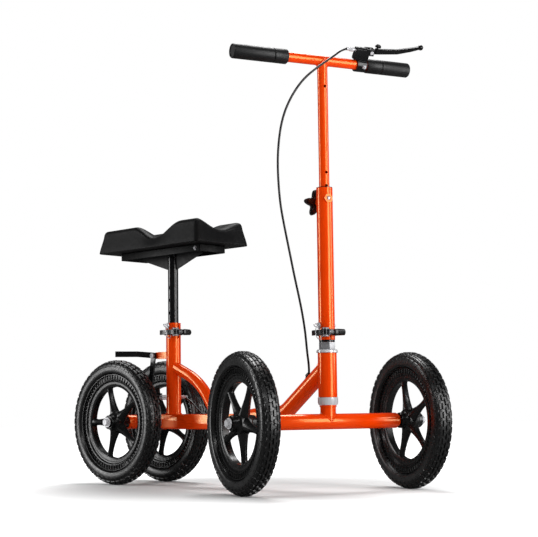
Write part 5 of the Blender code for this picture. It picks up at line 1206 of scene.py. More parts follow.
def rounded_place(u, v, half_length, half_width, corner):
    """Map a point of the square -1..1 onto a rectangle with rounded corners."""
    x = u * half_length
    y = v * half_width
    over_x = abs(x) - (half_length - corner)
    over_y = abs(y) - (half_width - corner)
    if over_x > 0.0 and over_y > 0.0:
        share = max(over_x, over_y) / math.hypot(over_x, over_y)
        x = math.copysign(half_length - corner + over_x * share, x)
        y = math.copysign(half_width - corner + over_y * share, y)
    return x, y


# Locking pins and clamps

def make_pin(name, parent, location):
    """Locking pin with a ring to pull it by; it draws out towards the rider's right."""
    head = -(TUBE_RADIUS + GAP)
    tip = TUBE_RADIUS + PIN_TIP_REACH
    profile = ((0.0, tip), (PIN_RADIUS - 0.0008, tip), (PIN_RADIUS, tip - 0.0015),
               (PIN_RADIUS, head), (PIN_HEAD_RADIUS, head),
               (PIN_HEAD_RADIUS, head - PIN_HEAD), (0.0, head - PIN_HEAD))
    pin = add_turned(name, profile, "chrome", parent, location, ALONG_Y)
    behind = head - PULL_EYE_BEHIND_HEAD
    rim = [(PULL_EYE_RADIUS + out, behind + up) for out, up in arc(PULL_EYE_WIRE, 360.0, 90.0, 3)]
    join(pin, turned("pull_ring", rim, HUB_STEPS, True))


def make_clamp(prefix, carrier, location):
    """Slotted collar, skewer with a fork head, cam lever and thumb nut round a tube."""
    half = CLAMP_HEIGHT / 2.0
    body = ring("body", TUBE_RADIUS + GAP + CLAMP_WALL, bore(TUBE_RADIUS, GAP, TUBE_STEPS),
                -half, half)
    collar = add_piece(prefix + "_clamp_collar", body, "black_plastic", carrier, location)
    join(collar, block("ears", (CLAMP_EAR_START, CLAMP_EAR_REACH), CLAMP_EAR_SPREAD,
                       (-half, half), CLAMP_EAR_ROUND, 1))
    over = CLAMP_SLIT_OVERCUT
    cut(collar, block("slit", (CLAMP_SLIT_START, CLAMP_EAR_REACH + over), CLAMP_SLIT,
                      (-half - over, half + over)))
    drill(collar, SKEWER_RADIUS, HOLE_FIT, (SKEWER_X, 0.0, 0.0), ALONG_Y)
    place = Vector(location) + Vector((SKEWER_X, 0.0, 0.0))
    make_skewer(prefix + "_clamp_skewer", carrier, place)
    make_cam_lever(prefix + "_clamp_lever", carrier, place + Vector((0.0, CAM_PIN_Y, 0.0)))
    make_thumb_nut(prefix + "_clamp_nut", carrier, place)


def make_skewer(name, carrier, place):
    """Skewer across the ears, with a washer and a fork that holds the cam pin."""
    washer = -(CLAMP_EAR_SPREAD + GAP)
    end = CLAMP_EAR_SPREAD + THUMB_NUT_LENGTH - 0.001
    profile = ((0.0, end), (SKEWER_RADIUS - 0.0005, end), (SKEWER_RADIUS, end - 0.0008),
               (SKEWER_RADIUS, washer), (SKEWER_WASHER_RADIUS, washer),
               (SKEWER_WASHER_RADIUS, FORK_TOP - 0.0005), (0.0, FORK_TOP - 0.0005))
    skewer = add_turned(name, profile, "dark_zinc", carrier, place, ALONG_Y)
    length, depth, height = FORK_SIZE
    half_height = height / 2.0
    join(skewer, block("fork", (-length / 2.0, length / 2.0), half_height,
                       (FORK_TOP - depth, FORK_TOP), FORK_ROUND, 1))
    cut(skewer, block("slot", (-length, length), LEVER_BLADE_HEIGHT / 2.0 + GAP,
                      (FORK_TOP - depth - CLAMP_SLIT_OVERCUT, FORK_TOP - FORK_WEB)))
    cam_pin = rod("cam_pin", CAM_PIN_RADIUS, -half_height + LET_IN, half_height - LET_IN)
    join(skewer, cam_pin, (0.0, 0.0, CAM_PIN_Y), ON_EDGE)


def make_cam_lever(name, carrier, place):
    """Cam with a blade that lies along the tube when it is closed."""
    outline = ribbon(BLADE_ROUTE, [LEVER_BLADE_THICKNESS / 2.0 * share for share in BLADE_SHARES])
    body = plate("body", outline, LEVER_BLADE_HEIGHT)
    lever = add_piece(name, body, "black_plastic", carrier, place)
    half_height = LEVER_BLADE_HEIGHT / 2.0
    join(lever, rod("cam", CAM_RADIUS, -half_height, half_height, HUB_STEPS))
    drill(lever, CAM_PIN_RADIUS, GAP)


def make_thumb_nut(name, carrier, place):
    """Ribbed thumb nut on the skewer's far end."""
    start = CLAMP_EAR_SPREAD + GAP
    end = start + THUMB_NUT_LENGTH
    work = bmesh.new()
    steps = 2 * THUMB_NUT_RIBS
    cone(work, steps, THUMB_NUT_RADIUS, THUMB_NUT_RADIUS * THUMB_NUT_TAPER, start, end)
    for vertex in work.verts:
        angle = math.atan2(vertex.co.y, vertex.co.x)
        groove = round(angle / (2.0 * math.pi) * steps) % 2
        vertex.co.xy *= 1.0 - THUMB_NUT_GROOVE * groove
    body = shade(made_mesh("body", work))
    nut = add_piece(name, body, "black_plastic", carrier, place, ALONG_Y)
    drill(nut, SKEWER_RADIUS, GAP, span=(start - SHORT_OVERCUT, end + SHORT_OVERCUT))


# Steering and column

def make_steering(steering):
    """Front axle, steerer, locknut and spacer."""
    add_axle_tube("front_axle_tube", FRONT_TRACK, FRONT_AXLE_END_ROUND, steering)
    race_top = HEAD_BOTTOM - GAP - CUP_HEIGHT - GAP
    race_bottom = race_top - RACE_HEIGHT
    outer = STEERER_RADIUS
    inner = STEERER_BORE_RADIUS
    profile = ((0.0, STEERER_BORE_BOTTOM), (inner, STEERER_BORE_BOTTOM), (inner, STEERER_TOP),
               (outer - 0.0006, STEERER_TOP), (outer, STEERER_TOP - CHAMFER), (outer, race_top),
               (RACE_RADIUS, race_top), (RACE_RADIUS, race_bottom), (STEM_RADIUS, race_bottom),
               (STEM_RADIUS, STEM_BOTTOM), (0.0, STEM_BOTTOM))
    steerer = add_turned("steerer_tube", profile, "orange_paint", steering, steps=TUBE_STEPS)
    cope(steerer, AXLE_TUBE_RADIUS + GAP, OVERCUT, rotation=ALONG_Y)
    drill_for_pin(steerer, COLUMN_PIN_HEIGHT)
    nut_top = LOCKNUT_BOTTOM + LOCKNUT_HEIGHT
    locknut = add_piece("headset_locknut", rod("body", LOCKNUT_RADIUS, LOCKNUT_BOTTOM, nut_top, 6),
                        "nut_steel", steering, rotation=(0.0, 0.0, LOCKNUT_TURN))
    drill(locknut, STEERER_RADIUS, GAP, steps=TUBE_STEPS,
          span=(LOCKNUT_BOTTOM - SHORT_OVERCUT, nut_top + SHORT_OVERCUT))
    spacer = ring("body", SPACER_RADIUS, bore(STEERER_RADIUS, GAP, TUBE_STEPS), SPACER_BOTTOM,
                  SPACER_BOTTOM + SPACER_HEIGHT)
    add_piece("headset_spacer", spacer, "black_plastic", steering)


def make_column(steering):
    """Outer column over the steerer, with its two bosses, bushing, clamp and pin."""
    top = COLUMN_FOOT + COLUMN_LENGTH
    body = ring("body", TUBE_RADIUS, COLUMN_BORE_RADIUS, COLUMN_FOOT, top)
    column = add_piece("outer_column", body, "orange_paint", steering)
    plunger = (0.0, 0.0, PLUNGER_HEIGHT)
    knob = (0.0, 0.0, top - KNOB_BELOW_TOP)
    wall = COLUMN_BORE_RADIUS + BOSS_START_PAST_BORE
    join(column, rod("front_boss", PLUNGER_BOSS_RADIUS, wall, PLUNGER_BOSS_REACH, HUB_STEPS),
         plunger, ALONG_X)
    join(column, rod("back_boss", KNOB_BOSS_RADIUS, -KNOB_BOSS_REACH, -wall, HUB_STEPS),
         knob, ALONG_X)
    drill(column, PLUNGER_RADIUS, GAP, plunger, ALONG_X, PLUNGER_HOLE)
    drill(column, KNOB_STUD_RADIUS, GAP, knob, ALONG_X, KNOB_STUD_HOLE)
    drill_for_pin(column, COLUMN_PIN_HEIGHT)
    slot_ends = (COLUMN_FOOT - SHORT_OVERCUT, COLUMN_FOOT + COLUMN_FOOT_SLOT)
    cut(column, block("slot", SLOT_REACH, SLOT_WIDTH / 2.0, slot_ends))

    sleeve_top = top - 2.0 * GAP
    slide = bore(INNER_COLUMN_RADIUS, SLIDE_FIT, TUBE_STEPS)
    lip_top = top + BUSHING_LIP
    sleeve = ring("body", COLUMN_BORE_RADIUS - GAP, slide, sleeve_top - COLUMN_BUSHING_LENGTH,
                  sleeve_top)
    bushing = add_piece("column_bushing", sleeve, "black_plastic", steering)
    join(bushing, ring("lip", TUBE_RADIUS - GAP, slide, top + GAP / 2.0, lip_top))
    join(bushing, ring("neck", COLUMN_BORE_RADIUS - 1.5 * GAP, slide, sleeve_top - LET_IN,
                       lip_top))
    make_clamp("column", steering, (0.0, 0.0, COLUMN_FOOT + COLUMN_CLAMP_ABOVE_FOOT))
    make_pin("column_pin", steering, (0.0, 0.0, COLUMN_PIN_HEIGHT))
    make_star_knob(steering, knob)
    make_plunger(steering, plunger)


def make_star_knob(steering, place):
    """Five-lobed knob on a stud that presses on the inner column."""
    work = bmesh.new()
    face = -(KNOB_BOSS_REACH + GAP)
    cone(work, 32 * KNOB_LOBES, 1.0, 1.0, face - KNOB_THICKNESS, face)
    for vertex in work.verts:
        angle = math.atan2(vertex.co.y, vertex.co.x)
        lobe = (0.5 + 0.5 * math.cos(KNOB_LOBES * (angle - KNOB_TURN))) ** KNOB_POINTED
        vertex.co.xy *= KNOB_WAIST + (KNOB_RADIUS + KNOB_LOBE - KNOB_WAIST) * lobe
    rims = [edge for edge in work.edges if abs(edge.verts[0].co.z - edge.verts[1].co.z) < MERGE]
    bmesh.ops.bevel(work, geom=rims, offset=KNOB_EDGE, segments=4, affect="EDGES")
    body = shade(made_mesh("body", work))
    knob = add_piece("star_knob", body, "black_plastic", steering, place, ALONG_X)
    join(knob, rod("hub", KNOB_HUB_RADIUS, face - KNOB_HUB_SINK, face, HUB_STEPS))
    tip = -(INNER_COLUMN_RADIUS + GAP)
    join(knob, rod("stud", KNOB_STUD_RADIUS, face - KNOB_HUB_SINK, tip))


def make_plunger(steering, place):
    """Domed spring plunger whose tip sits in a height hole of the inner column."""
    shoulder = INNER_COLUMN_RADIUS + 2.0 * GAP
    head = PLUNGER_BOSS_REACH - 0.0005
    tip = INNER_COLUMN_RADIUS - INNER_COLUMN_WALL
    profile = ((0.0, head + PLUNGER_HEAD), (PLUNGER_RADIUS * 0.6, head + PLUNGER_HEAD * 0.8),
               (PLUNGER_RADIUS, head), (PLUNGER_RADIUS, shoulder + 0.002),
               (PLUNGER_TIP_RADIUS, shoulder), (PLUNGER_TIP_RADIUS, tip), (0.0, tip))
    add_turned("snap_plunger", profile, "chrome", steering, place, ALONG_X)


# Handlebar

def make_handlebar(bar):
    """Inner column, bar and grips about the bar's axis."""
    body = ring("body", INNER_COLUMN_RADIUS, INNER_COLUMN_RADIUS - INNER_COLUMN_WALL,
                INNER_COLUMN_BOTTOM - BAR_HEIGHT, -INNER_COLUMN_TOP_BELOW_BAR)
    column = add_piece("inner_column", body, "orange_paint", bar)
    cope(column, BAR_RADIUS + GAP, BAR_COPE_REACH, rotation=ALONG_Y)
    hole = bore(PLUNGER_TIP_RADIUS, HOLE_FIT, HOLE_STEPS)
    holes = row_of_rods(HEIGHT_HOLE_STEP, -HEIGHT_HOLE_COUNT_BELOW, HEIGHT_HOLE_COUNT_ABOVE, hole,
                        *HEIGHT_HOLE_REACH, "Y")
    cut(column, holes, (0.0, 0.0, PLUNGER_HEIGHT - BAR_HEIGHT))
    cut(column, rod("upper_hole", hole, *HEIGHT_HOLE_REACH, HOLE_STEPS),
        (0.0, 0.0, -UPPER_HOLE_BELOW_BAR), ALONG_X)
    tube = ring("body", BAR_RADIUS, BAR_RADIUS - BAR_WALL, -BAR_HALF_LENGTH, BAR_HALF_LENGTH)
    add_piece("handlebar", tube, "orange_paint", bar, rotation=ALONG_Y)
    make_grip("grip_right", bar, -1, RIGHT_GRIP_LENGTH, RIGHT_GROOVE_FROM_INNER)
    make_grip("grip_left", bar, 1, LEFT_GRIP_LENGTH, LEFT_GROOVE_FROM_INNER)


def make_grip(name, bar, side, length, groove):
    """Moulded grip closed at its outer end, with a groove and a recessed cap."""
    outer = BAR_HALF_LENGTH + GRIP_CAP
    inner = outer - length
    hole = bore(BAR_RADIUS, GAP, TUBE_STEPS)
    line = inner + groove
    radius = GRIP_RADIUS
    profile = ((0.0, outer - 0.0015), (radius - 0.005, outer - 0.0015), (radius - 0.004, outer),
               (radius - 0.0012, outer), (radius, outer - 0.002),
               (radius, line + 0.0015), (radius - GRIP_GROOVE, line), (radius, line - 0.0015),
               (radius, inner + 0.002), (radius - 0.0015, inner), (hole, inner),
               (hole, BAR_HALF_LENGTH + GAP), (0.0, BAR_HALF_LENGTH + GAP))
    add_turned(name, profile, "grip_rubber", bar, rotation=(math.radians(-90.0 * side), 0.0, 0.0),
               steps=TUBE_STEPS)


def make_lever_set(bar):
    """Bracket, barrel adjuster, pivot, lever and parking-lock button in the lever's plane."""
    plane = new_empty("lever_plane", bar, rotation=(0.0, -LEVER_TILT, 0.0))
    make_lever_bracket(plane)
    end = BRACKET_INNER_END + ADJUSTER_STUD_REACH
    collar = BRACKET_INNER_END - ADJUSTER_STUD_REACH
    start = BRACKET_INNER_END - ADJUSTER_LENGTH
    nose = start + ADJUSTER_NOSE_LENGTH
    wire_hole = bore(WIRE_RADIUS, GAP, ROD_STEPS)
    adjuster = ((ADJUSTER_STUD_RADIUS, end), (ADJUSTER_STUD_RADIUS, collar),
                (ADJUSTER_RADIUS, collar), (ADJUSTER_RADIUS, nose + ADJUSTER_NOSE_TAPER),
                (ADJUSTER_NOSE_RADIUS, nose), (ADJUSTER_NOSE_RADIUS, start), (wire_hole, start),
                (wire_hole, end))
    add_turned("barrel_adjuster", adjuster, "zinc", plane, (PIVOT_OUT, 0.0, 0.0), ALONG_Y,
               closed=True)
    face = BRACKET_HALF_DEPTH + GAP
    head = LEVER_PIN_HEAD_RADIUS
    top = face + LEVER_PIN_HEAD
    tail = -face - LEVER_PIN_TAIL
    pivot = ((0.0, top), (head - 0.8 * CHAMFER, top), (head, top - CHAMFER), (head, face),
             (LEVER_PIN_RADIUS, face), (LEVER_PIN_RADIUS, -face), (head, -face), (head, tail),
             (0.0, tail))
    add_turned("lever_pivot", pivot, "zinc", plane, (PIVOT_OUT, PIVOT_ALONG, 0.0))
    make_brake_lever(plane)
    make_lock_button(plane)
    return plane


def make_lever_bracket(plane):
    """Clamp collar on the bar with a housing, and two lugs that hold the lever's pivot."""
    collar = ring("body", BRACKET_COLLAR_RADIUS, bore(BAR_RADIUS, GAP, TUBE_STEPS),
                  BRACKET_COLLAR_START, BRACKET_OUTER_END)
    bracket = add_piece("lever_bracket", collar, "black_plastic", plane, rotation=ALONG_Y)
    depth = BRACKET_HALF_DEPTH
    join(bracket, block("housing", (BRACKET_HOUSING_START, BRACKET_REACH), depth,
                        (BRACKET_INNER_END, BRACKET_OUTER_END), BRACKET_ROUND, 2))
    join(bracket, block("lugs", LUG_OUT, depth, LUG_ALONG))
    cut(bracket, block("slot", LEVER_SLOT_OUT, LEVER_THICKNESS / 2.0 + GAP, LEVER_SLOT_ALONG))
    drill(bracket, LEVER_PIN_RADIUS, GAP, (PIVOT_OUT, 0.0, PIVOT_ALONG), ON_EDGE)
    cut(bracket, rod("wire_way", WIRE_WAY_RADIUS, *WIRE_WAY_ALONG), (PIVOT_OUT, 0.0, 0.0))


def make_brake_lever(plane):
    """Lever blade with a ball end and a boss for the lock button."""
    route = [(out - PIVOT_OUT, along - PIVOT_ALONG) for along, out in LEVER_ROUTE]
    outline = ribbon(route, [LEVER_WIDTH / 2.0 * share for share in LEVER_WIDTH_SHARES])
    lever = add_piece("brake_lever", plate("body", outline, LEVER_THICKNESS), "black_plastic",
                      plane, (PIVOT_OUT, PIVOT_ALONG, 0.0))
    half_thickness = LEVER_THICKNESS / 2.0
    join(lever, rod("eye", LEVER_EYE_RADIUS, -half_thickness, half_thickness, HUB_STEPS))
    ball = bmesh.new()
    bmesh.ops.create_uvsphere(ball, u_segments=12, v_segments=8, radius=LEVER_BALL_RADIUS)
    join(lever, shade(made_mesh("ball", ball)),
         (LEVER_BALL[1] - PIVOT_OUT, LEVER_BALL[0] - PIVOT_ALONG, 0.0))
    boss_top = PIVOT_OUT + LOCK_BOSS_TOP
    button_line = (-PIVOT_OUT, LOCK_BUTTON_ALONG - PIVOT_ALONG, 0.0)
    join(lever, rod("button_boss", LOCK_BOSS_RADIUS, PIVOT_OUT - 0.003, boss_top), button_line,
         ALONG_X)
    drill(lever, LOCK_STEM_RADIUS, GAP, button_line, ALONG_X,
          (PIVOT_OUT - DRILL_REACH, boss_top + DRILL_REACH))
    drill(lever, LEVER_PIN_RADIUS, TURN_FIT)


def make_lock_button(plane):
    """Parking-lock button that rides in the lever's boss."""
    rest = PIVOT_OUT + LOCK_BOSS_TOP + GAP + LOCK_BUTTON_TRAVEL
    radius = LOCK_BUTTON_RADIUS
    button = ((0.0, rest + LOCK_BUTTON_HEAD), (radius * 0.7, rest + LOCK_BUTTON_HEAD),
              (radius, rest + LOCK_BUTTON_HEAD * 0.6), (radius, rest), (LOCK_STEM_RADIUS, rest),
              (LOCK_STEM_RADIUS, PIVOT_OUT), (0.0, PIVOT_OUT))
    add_turned("lock_button", button, "black_plastic", plane, (0.0, LOCK_BUTTON_ALONG, 0.0),
               ALONG_X)


# Rear brake yoke

def make_yoke(frame_axis):
    """Two flat bars over the rear tyres, joined by a bridge, with the arm and cable anchor."""
    right_route = [(x, -y) for x, y in YOKE_BAR_ROUTE]
    yoke = add_piece("brake_yoke", yoke_bar("body", right_route), "black_paint", frame_axis,
                     YOKE_PIVOT)
    join(yoke, yoke_bar("left_bar", YOKE_BAR_ROUTE))
    join(yoke, block("bridge", BRIDGE_X, BRIDGE_HALF_WIDTH, BRIDGE_Z))
    lane = -YOKE_BAR_ROUTE[0][1]
    arm = ribbon(((0.0, 0.0), YOKE_ARM_FOOT), YOKE_ARM_HALF_WIDTHS)
    join(yoke, plate("arm", arm, YOKE_BAR_THICKNESS - 2.0 * GAP), (0.0, lane, 0.0), ON_EDGE)
    line = CABLE_LINE_HEIGHT - YOKE_PIVOT[2]
    anchor_x = YOKE_ARM_FOOT[0]
    outline = [(left, line + rise) for left, rise in ANCHOR_CORNERS]
    join(yoke, plate("anchor", outline, ANCHOR_THICKNESS), (anchor_x, 0.0, 0.0),
         (math.radians(90.0), 0.0, math.radians(90.0)))
    drill(yoke, YOKE_BOLT_RADIUS, TURN_FIT, rotation=ALONG_Y, span=YOKE_BOLT_HOLE)
    drill(yoke, WIRE_RADIUS, GAP, (0.0, CABLE_LINE_Y, line), ALONG_X,
          (anchor_x - SHORT_OVERCUT, anchor_x + SHORT_OVERCUT), HOLE_STEPS)


def yoke_bar(name, route):
    """One flat bar of the yoke, standing on edge and rising a little towards its end."""
    widths = [YOKE_BAR_THICKNESS / 2.0] * len(route)
    mesh = plate(name, ribbon(route, widths), YOKE_BAR_HEIGHT)
    bend = -YOKE_BAR_ROUTE[2][0]
    for vertex in mesh.vertices:
        vertex.co.z += YOKE_BAR_RISE * min(max(-vertex.co.x / bend, 0.0), 1.0)
    return mesh


# Wheels

def tyre_mesh():
    """Air tyre: smooth walls, a bead lip and rows of raised, staggered tread blocks."""
    tread = WHEEL_RADIUS - KNOB_RISE
    outer = [(tread - depth, width) for depth, width in TYRE_SECTION]
    half = outer + [(TYRE_INNER_RADIUS, TYRE_BEAD_HALF_WIDTH)]
    profile = tuple(reversed(half)) + tuple((radius, -width) for radius, width in half)
    mesh = turned("tyre", profile, TYRE_STEPS, True)
    work = bmesh.new()
    work.from_mesh(mesh)
    blocks = {}
    for face in work.faces:
        key = tread_block(face, tread)
        if key:
            blocks.setdefault(key, []).append(face)
    for (row, _, _), faces in blocks.items():
        bmesh.ops.inset_region(work, faces=faces, thickness=BLOCK_SLOPE,
                               depth=TREAD_ROWS[row][-1], use_even_offset=True,
                               use_boundary=True)
    bmesh.ops.recalc_face_normals(work, faces=work.faces)
    work.to_mesh(mesh)
    work.free()
    return mesh


def tread_block(face, tread):
    """Tell which tread block a face belongs to, or None in a groove or on the wall."""
    centre = face.calc_center_median()
    if math.hypot(centre.x, centre.y) < tread - TREAD_DEPTH:
        return None
    sector = int(math.degrees(math.atan2(centre.y, centre.x)) % 360.0 / 360.0 * TYRE_STEPS)
    on_left = centre.z > 0.0
    for row, (low, high, left_shift, right_shift, _) in enumerate(TREAD_ROWS):
        place = sector + (left_shift if on_left else right_shift)
        if low < abs(centre.z) < high and place % BLOCK_STEPS < BLOCK_STEPS - 1:
            return row, on_left, place // BLOCK_STEPS
    return None


def rim_ring_mesh():
    """Deep rim ring with a ribbed band on each face."""
    mesh = turned("rim_ring", mirrored(RIM_SECTION), 4 * RIB_COUNT, True)
    for vertex in mesh.vertices:
        radius = math.hypot(vertex.co.x, vertex.co.y)
        step = round(math.atan2(vertex.co.y, vertex.co.x) / math.pi * 2 * RIB_COUNT)
        if step % 4 < 2 and RIB_BAND[0] < radius < RIB_BAND[1]:
            vertex.co.z -= math.copysign(RIB_DEPTH, vertex.co.z)
    return mesh


def ridged(size, part):
    """Draw a circle's coordinate in towards the middle, for a spoke's ridged section."""
    return size * math.copysign(abs(part) ** SPOKE_RIDGE, part)


def spoke_mesh():
    """One ridged spoke along X, wide at the hub and flared where it meets the rim."""
    work = bmesh.new()
    rings = []
    for x, half_width, half_depth in SPOKE_STATIONS:
        rings.append([work.verts.new((x, ridged(half_width, math.cos(angle)),
                                      ridged(half_depth, math.sin(angle))))
                      for angle in turn_angles(SPOKE_ROUND)])
    for low, high in zip(rings, rings[1:]):
        for step in range(SPOKE_ROUND):
            after = (step + 1) % SPOKE_ROUND
            work.faces.new((low[step], low[after], high[after], high[step]))
    work.faces.new(rings[0])
    work.faces.new(rings[-1])
    bmesh.ops.recalc_face_normals(work, faces=work.faces)
    return shade(made_mesh("spoke", work))


def rim_mesh():
    """Five-spoke rim with a ribbed ring, ridged spokes and a stepped hub."""
    rim = bpy.data.objects.new("rim_pattern", rim_ring_mesh())
    bpy.context.scene.collection.objects.link(rim)
    for angle in turn_angles(SPOKES):
        join(rim, spoke_mesh(), rotation=(0.0, 0.0, angle))
    hub = mirrored(HUB_SECTION)
    profile = ((0.0, hub[0][1]), *hub, (0.0, hub[-1][1]))
    join(rim, turned("hub", profile, HUB_STEPS))
    reach = HUB_BOSS_HALF_LENGTH + SHORT_OVERCUT
    drill(rim, AXLE_BOLT_RADIUS, TURN_FIT, span=(-reach, reach), steps=HUB_STEPS)
    bpy.context.scene.collection.objects.unlink(rim)
    return mesh_from_object(rim, "rim")


def bearing_mesh():
    """Both bearing faces of a hub, each with its races and seal."""
    work = bmesh.new()
    profile = [(radius, HUB_FACE + rise) for radius, rise in BEARING_SECTION]
    for side in (-1.0, 1.0):
        part = turned("bearing", profile, HUB_STEPS, True)
        part.transform(Matrix.Diagonal((1.0, 1.0, side, 1.0)))
        work.from_mesh(part)
    bmesh.ops.recalc_face_normals(work, faces=work.faces)
    return shade(made_mesh("bearings", work))


def make_wheels(frame_axis, steering_axis):
    """Four wheels, alike but for how far each rim has rolled."""
    tyre = tyre_mesh()
    rim = rim_mesh()
    bearings = bearing_mesh()
    wheels = (("rear_right", frame_axis, -REAR_TRACK / 2.0, 180.0),
              ("rear_left", frame_axis, REAR_TRACK / 2.0, -31.0),
              ("front_right", steering_axis, -FRONT_TRACK / 2.0, -12.0),
              ("front_left", steering_axis, FRONT_TRACK / 2.0, 30.0))
    for name, parent, y, spoke_angle in wheels:
        body = "wheel_" + name
        hub = new_empty("axis_" + name, parent, (0.0, y, 0.0))
        turn = (ALONG_Y[0], math.radians(-spoke_angle), 0.0)
        add_piece("tyre_" + name, tyre, "tyre_rubber", hub, rotation=ALONG_Y)
        add_piece("rim_" + name, rim, "rim_plastic", hub, rotation=turn)
        add_extra("bearings_" + name, bearings, "black_plastic", body, hub, rotation=turn)
        stem = new_empty("stem_" + name, hub, rotation=turn)
        add_extra("valve_" + name, turned("valve", VALVE_SECTION, 16), "black_plastic", body, stem,
                  (-RIM_INNER_RADIUS * math.cos(VALVE_ANGLE),
                   -RIM_INNER_RADIUS * math.sin(VALVE_ANGLE), 0.0),
                  (0.0, math.radians(90.0), VALVE_ANGLE))


# Knee pad

def hollow_share(distance, half_width):
    """How deep a smooth hollow is at a distance from its middle, 1 at most."""
    return math.cos(min(abs(distance) / half_width, 1.0) * math.pi / 2.0) ** 2


def pad_height(x, y):
    """Height of the moulded top: two humps, a dip across and a wide channel along."""
    dip = hollow_share(x - PAD_DIP_X, PAD_DIP_AHEAD if x > PAD_DIP_X else PAD_DIP_BEHIND)
    channel = PAD_HOLLOW_DEPTH * hollow_share(y, PAD_HOLLOW_HALF_WIDTH)
    return PAD_HEIGHT - PAD_DIP_DEPTH * dip - channel * (1.0 - PAD_CHANNEL_FADE * dip)


def edge_drop(inset):
    """How far the top rolls down at a distance in from the pad's edge."""
    if inset >= PAD_CREST_REACH:
        return 0.0
    share = 1.0 - max(inset, 0.0) / PAD_CREST_REACH
    return PAD_CREST_ROUND * (1.0 - math.sqrt(1.0 - share ** 2))


def pad_place(u, v, w):
    """Where a point of the cube -1..1 lies on the moulded pad, above its base."""
    rise = (w + 1.0) / 2.0
    draw_in = PAD_DRAW_IN * math.sin(rise * math.pi / 2.0) ** PAD_DRAW_POWER
    half_length = PAD_LENGTH / 2.0 - draw_in
    half_width = PAD_WIDTH / 2.0 - draw_in
    spread_u = math.copysign(abs(u) ** PAD_CROWDING, u)
    spread_v = math.copysign(abs(v) ** PAD_CROWDING, v)
    x, y = rounded_place(spread_u, spread_v, half_length, half_width, PAD_LOOK_CORNER)
    over_x = abs(x) - (half_length - PAD_LOOK_CORNER)
    over_y = abs(y) - (half_width - PAD_LOOK_CORNER)
    inset = PAD_LOOK_CORNER - math.hypot(max(over_x, 0.0), max(over_y, 0.0))
    inset -= min(max(over_x, over_y), 0.0)
    x += PAD_CENTRE_X
    height = pad_height(x, y) - edge_drop(inset + PAD_CREST_REACH * (1.0 - rise))
    swell = noise.noise(Vector((x * PAD_SWELLS[0], y * PAD_SWELLS[1], rise))) * PAD_UNEVEN
    return x, y, max((height + swell) * rise, 0.0)


def make_knee_pad(parent):
    """Moulded pad: crowned humps, drawn-in sides with a rounded crest and a flared lip."""
    work = bmesh.new()
    bmesh.ops.create_cube(work, size=2.0)
    for axis, cuts in enumerate(PAD_CUTS):
        edges = [edge for edge in work.edges if runs_along(edge, axis)]
        bmesh.ops.subdivide_edges(work, edges=edges, cuts=cuts, use_grid_fill=True)
    for vertex in work.verts:
        vertex.co = pad_place(*vertex.co)
    pad = add_piece("knee_pad", shade(made_mesh("pad_body", work)), "black_vinyl", parent,
                    (0.0, 0.0, TRAY_TOP + GAP))
    smooth = pad.modifiers.new("round_over", "SUBSURF")
    smooth.levels = 1
    smooth.render_levels = 1


# Cables

def world_points(route, steered):
    """Cable points in the walker's frame from a route with heights from the ground."""
    turn = Matrix.Rotation(REST_STEER if steered else 0.0, 3, "Z")
    shift = Vector((REAR_AXLE_X + (WHEELBASE if steered else 0.0), 0.0, 0.0))
    return [turn @ Vector(point) + shift for point in route]


def fine_route(route):
    """A cable path of closely spaced points, evened out but for its two ends."""
    points = [Vector(route[0])] + smooth_path(route[1:-1], CABLE_POINT_STEP)
    points.append(Vector(route[-1]))
    for _ in range(CABLE_EVENING):
        middle = [(before + after) / 2.0 for before, after in zip(points, points[2:])]
        points = points[:1] + middle + points[-1:]
    return points


def make_cables():
    """Cable housings, the front one in two lengths that meet at a set height."""
    front = world_points(fine_route(FRONT_CABLE_ROUTE), True)
    rear = world_points(fine_route(REAR_CABLE_ROUTE), False)
    split = min(range(len(front)), key=lambda index: abs(front[index].z - SPLIT_HEIGHT))
    upper, lower, housing = [
        finished(name, pipe("cable", points, CABLE_RADIUS, 6), "cable_jacket")
        for name, points in (("front_cable_upper", front[:split + 1]),
                             ("front_cable_lower", front[split:]), ("rear_cable", rear))]
    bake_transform(upper)
    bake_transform(lower)
    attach(housing, "frame")
    for piece, node in ((upper, "brake_cable_front"), (lower, "brake_cable_front"),
                        (housing, "brake_cable_rear")):
        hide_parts(node)


# Small pieces that only the looks need

def wire_loop(width, length, wire, pinch):
    """A wire loop in the YZ plane that hangs from the origin, narrower at its top."""
    points = []
    for angle in turn_angles(40):
        y = width / 2.0 * math.sin(angle) * (1.0 - pinch * math.cos(angle))
        points.append((0.0, y, length / 2.0 * (math.cos(angle) - 1.0)))
    return pipe("wire_loop", points, wire, 4, True)


def make_pin_rings(frame_axis, steering_axis):
    """Pull ring of each locking pin, with the wire loop that hangs in it."""
    y = -(TUBE_RADIUS + GAP + PIN_HEAD + RING_RADIUS)
    drop = RING_RADIUS * 0.7
    places = (("seat_pin", frame_axis, SEAT_X, SEAT_PIN_HEIGHT),
              ("column_pin", steering_axis, 0.0, COLUMN_PIN_HEIGHT))
    for name, parent, x, height in places:
        pull = wire_loop(2.0 * RING_RADIUS, 2.0 * RING_RADIUS, RING_WIRE, 0.0)
        add_extra(name + "_ring", pull, "chrome", name, parent, (x - drop, y, height + drop),
                  (0.0, math.radians(-45.0), 0.0))
        loop = wire_loop(LOOP_WIDTH, LOOP_LENGTH, LOOP_WIRE, LOOP_PINCH)
        add_extra(name + "_loop", loop, "chrome", name, parent, (x + drop, y, height - drop),
                  (0.0, math.radians(-20.0), 0.0))


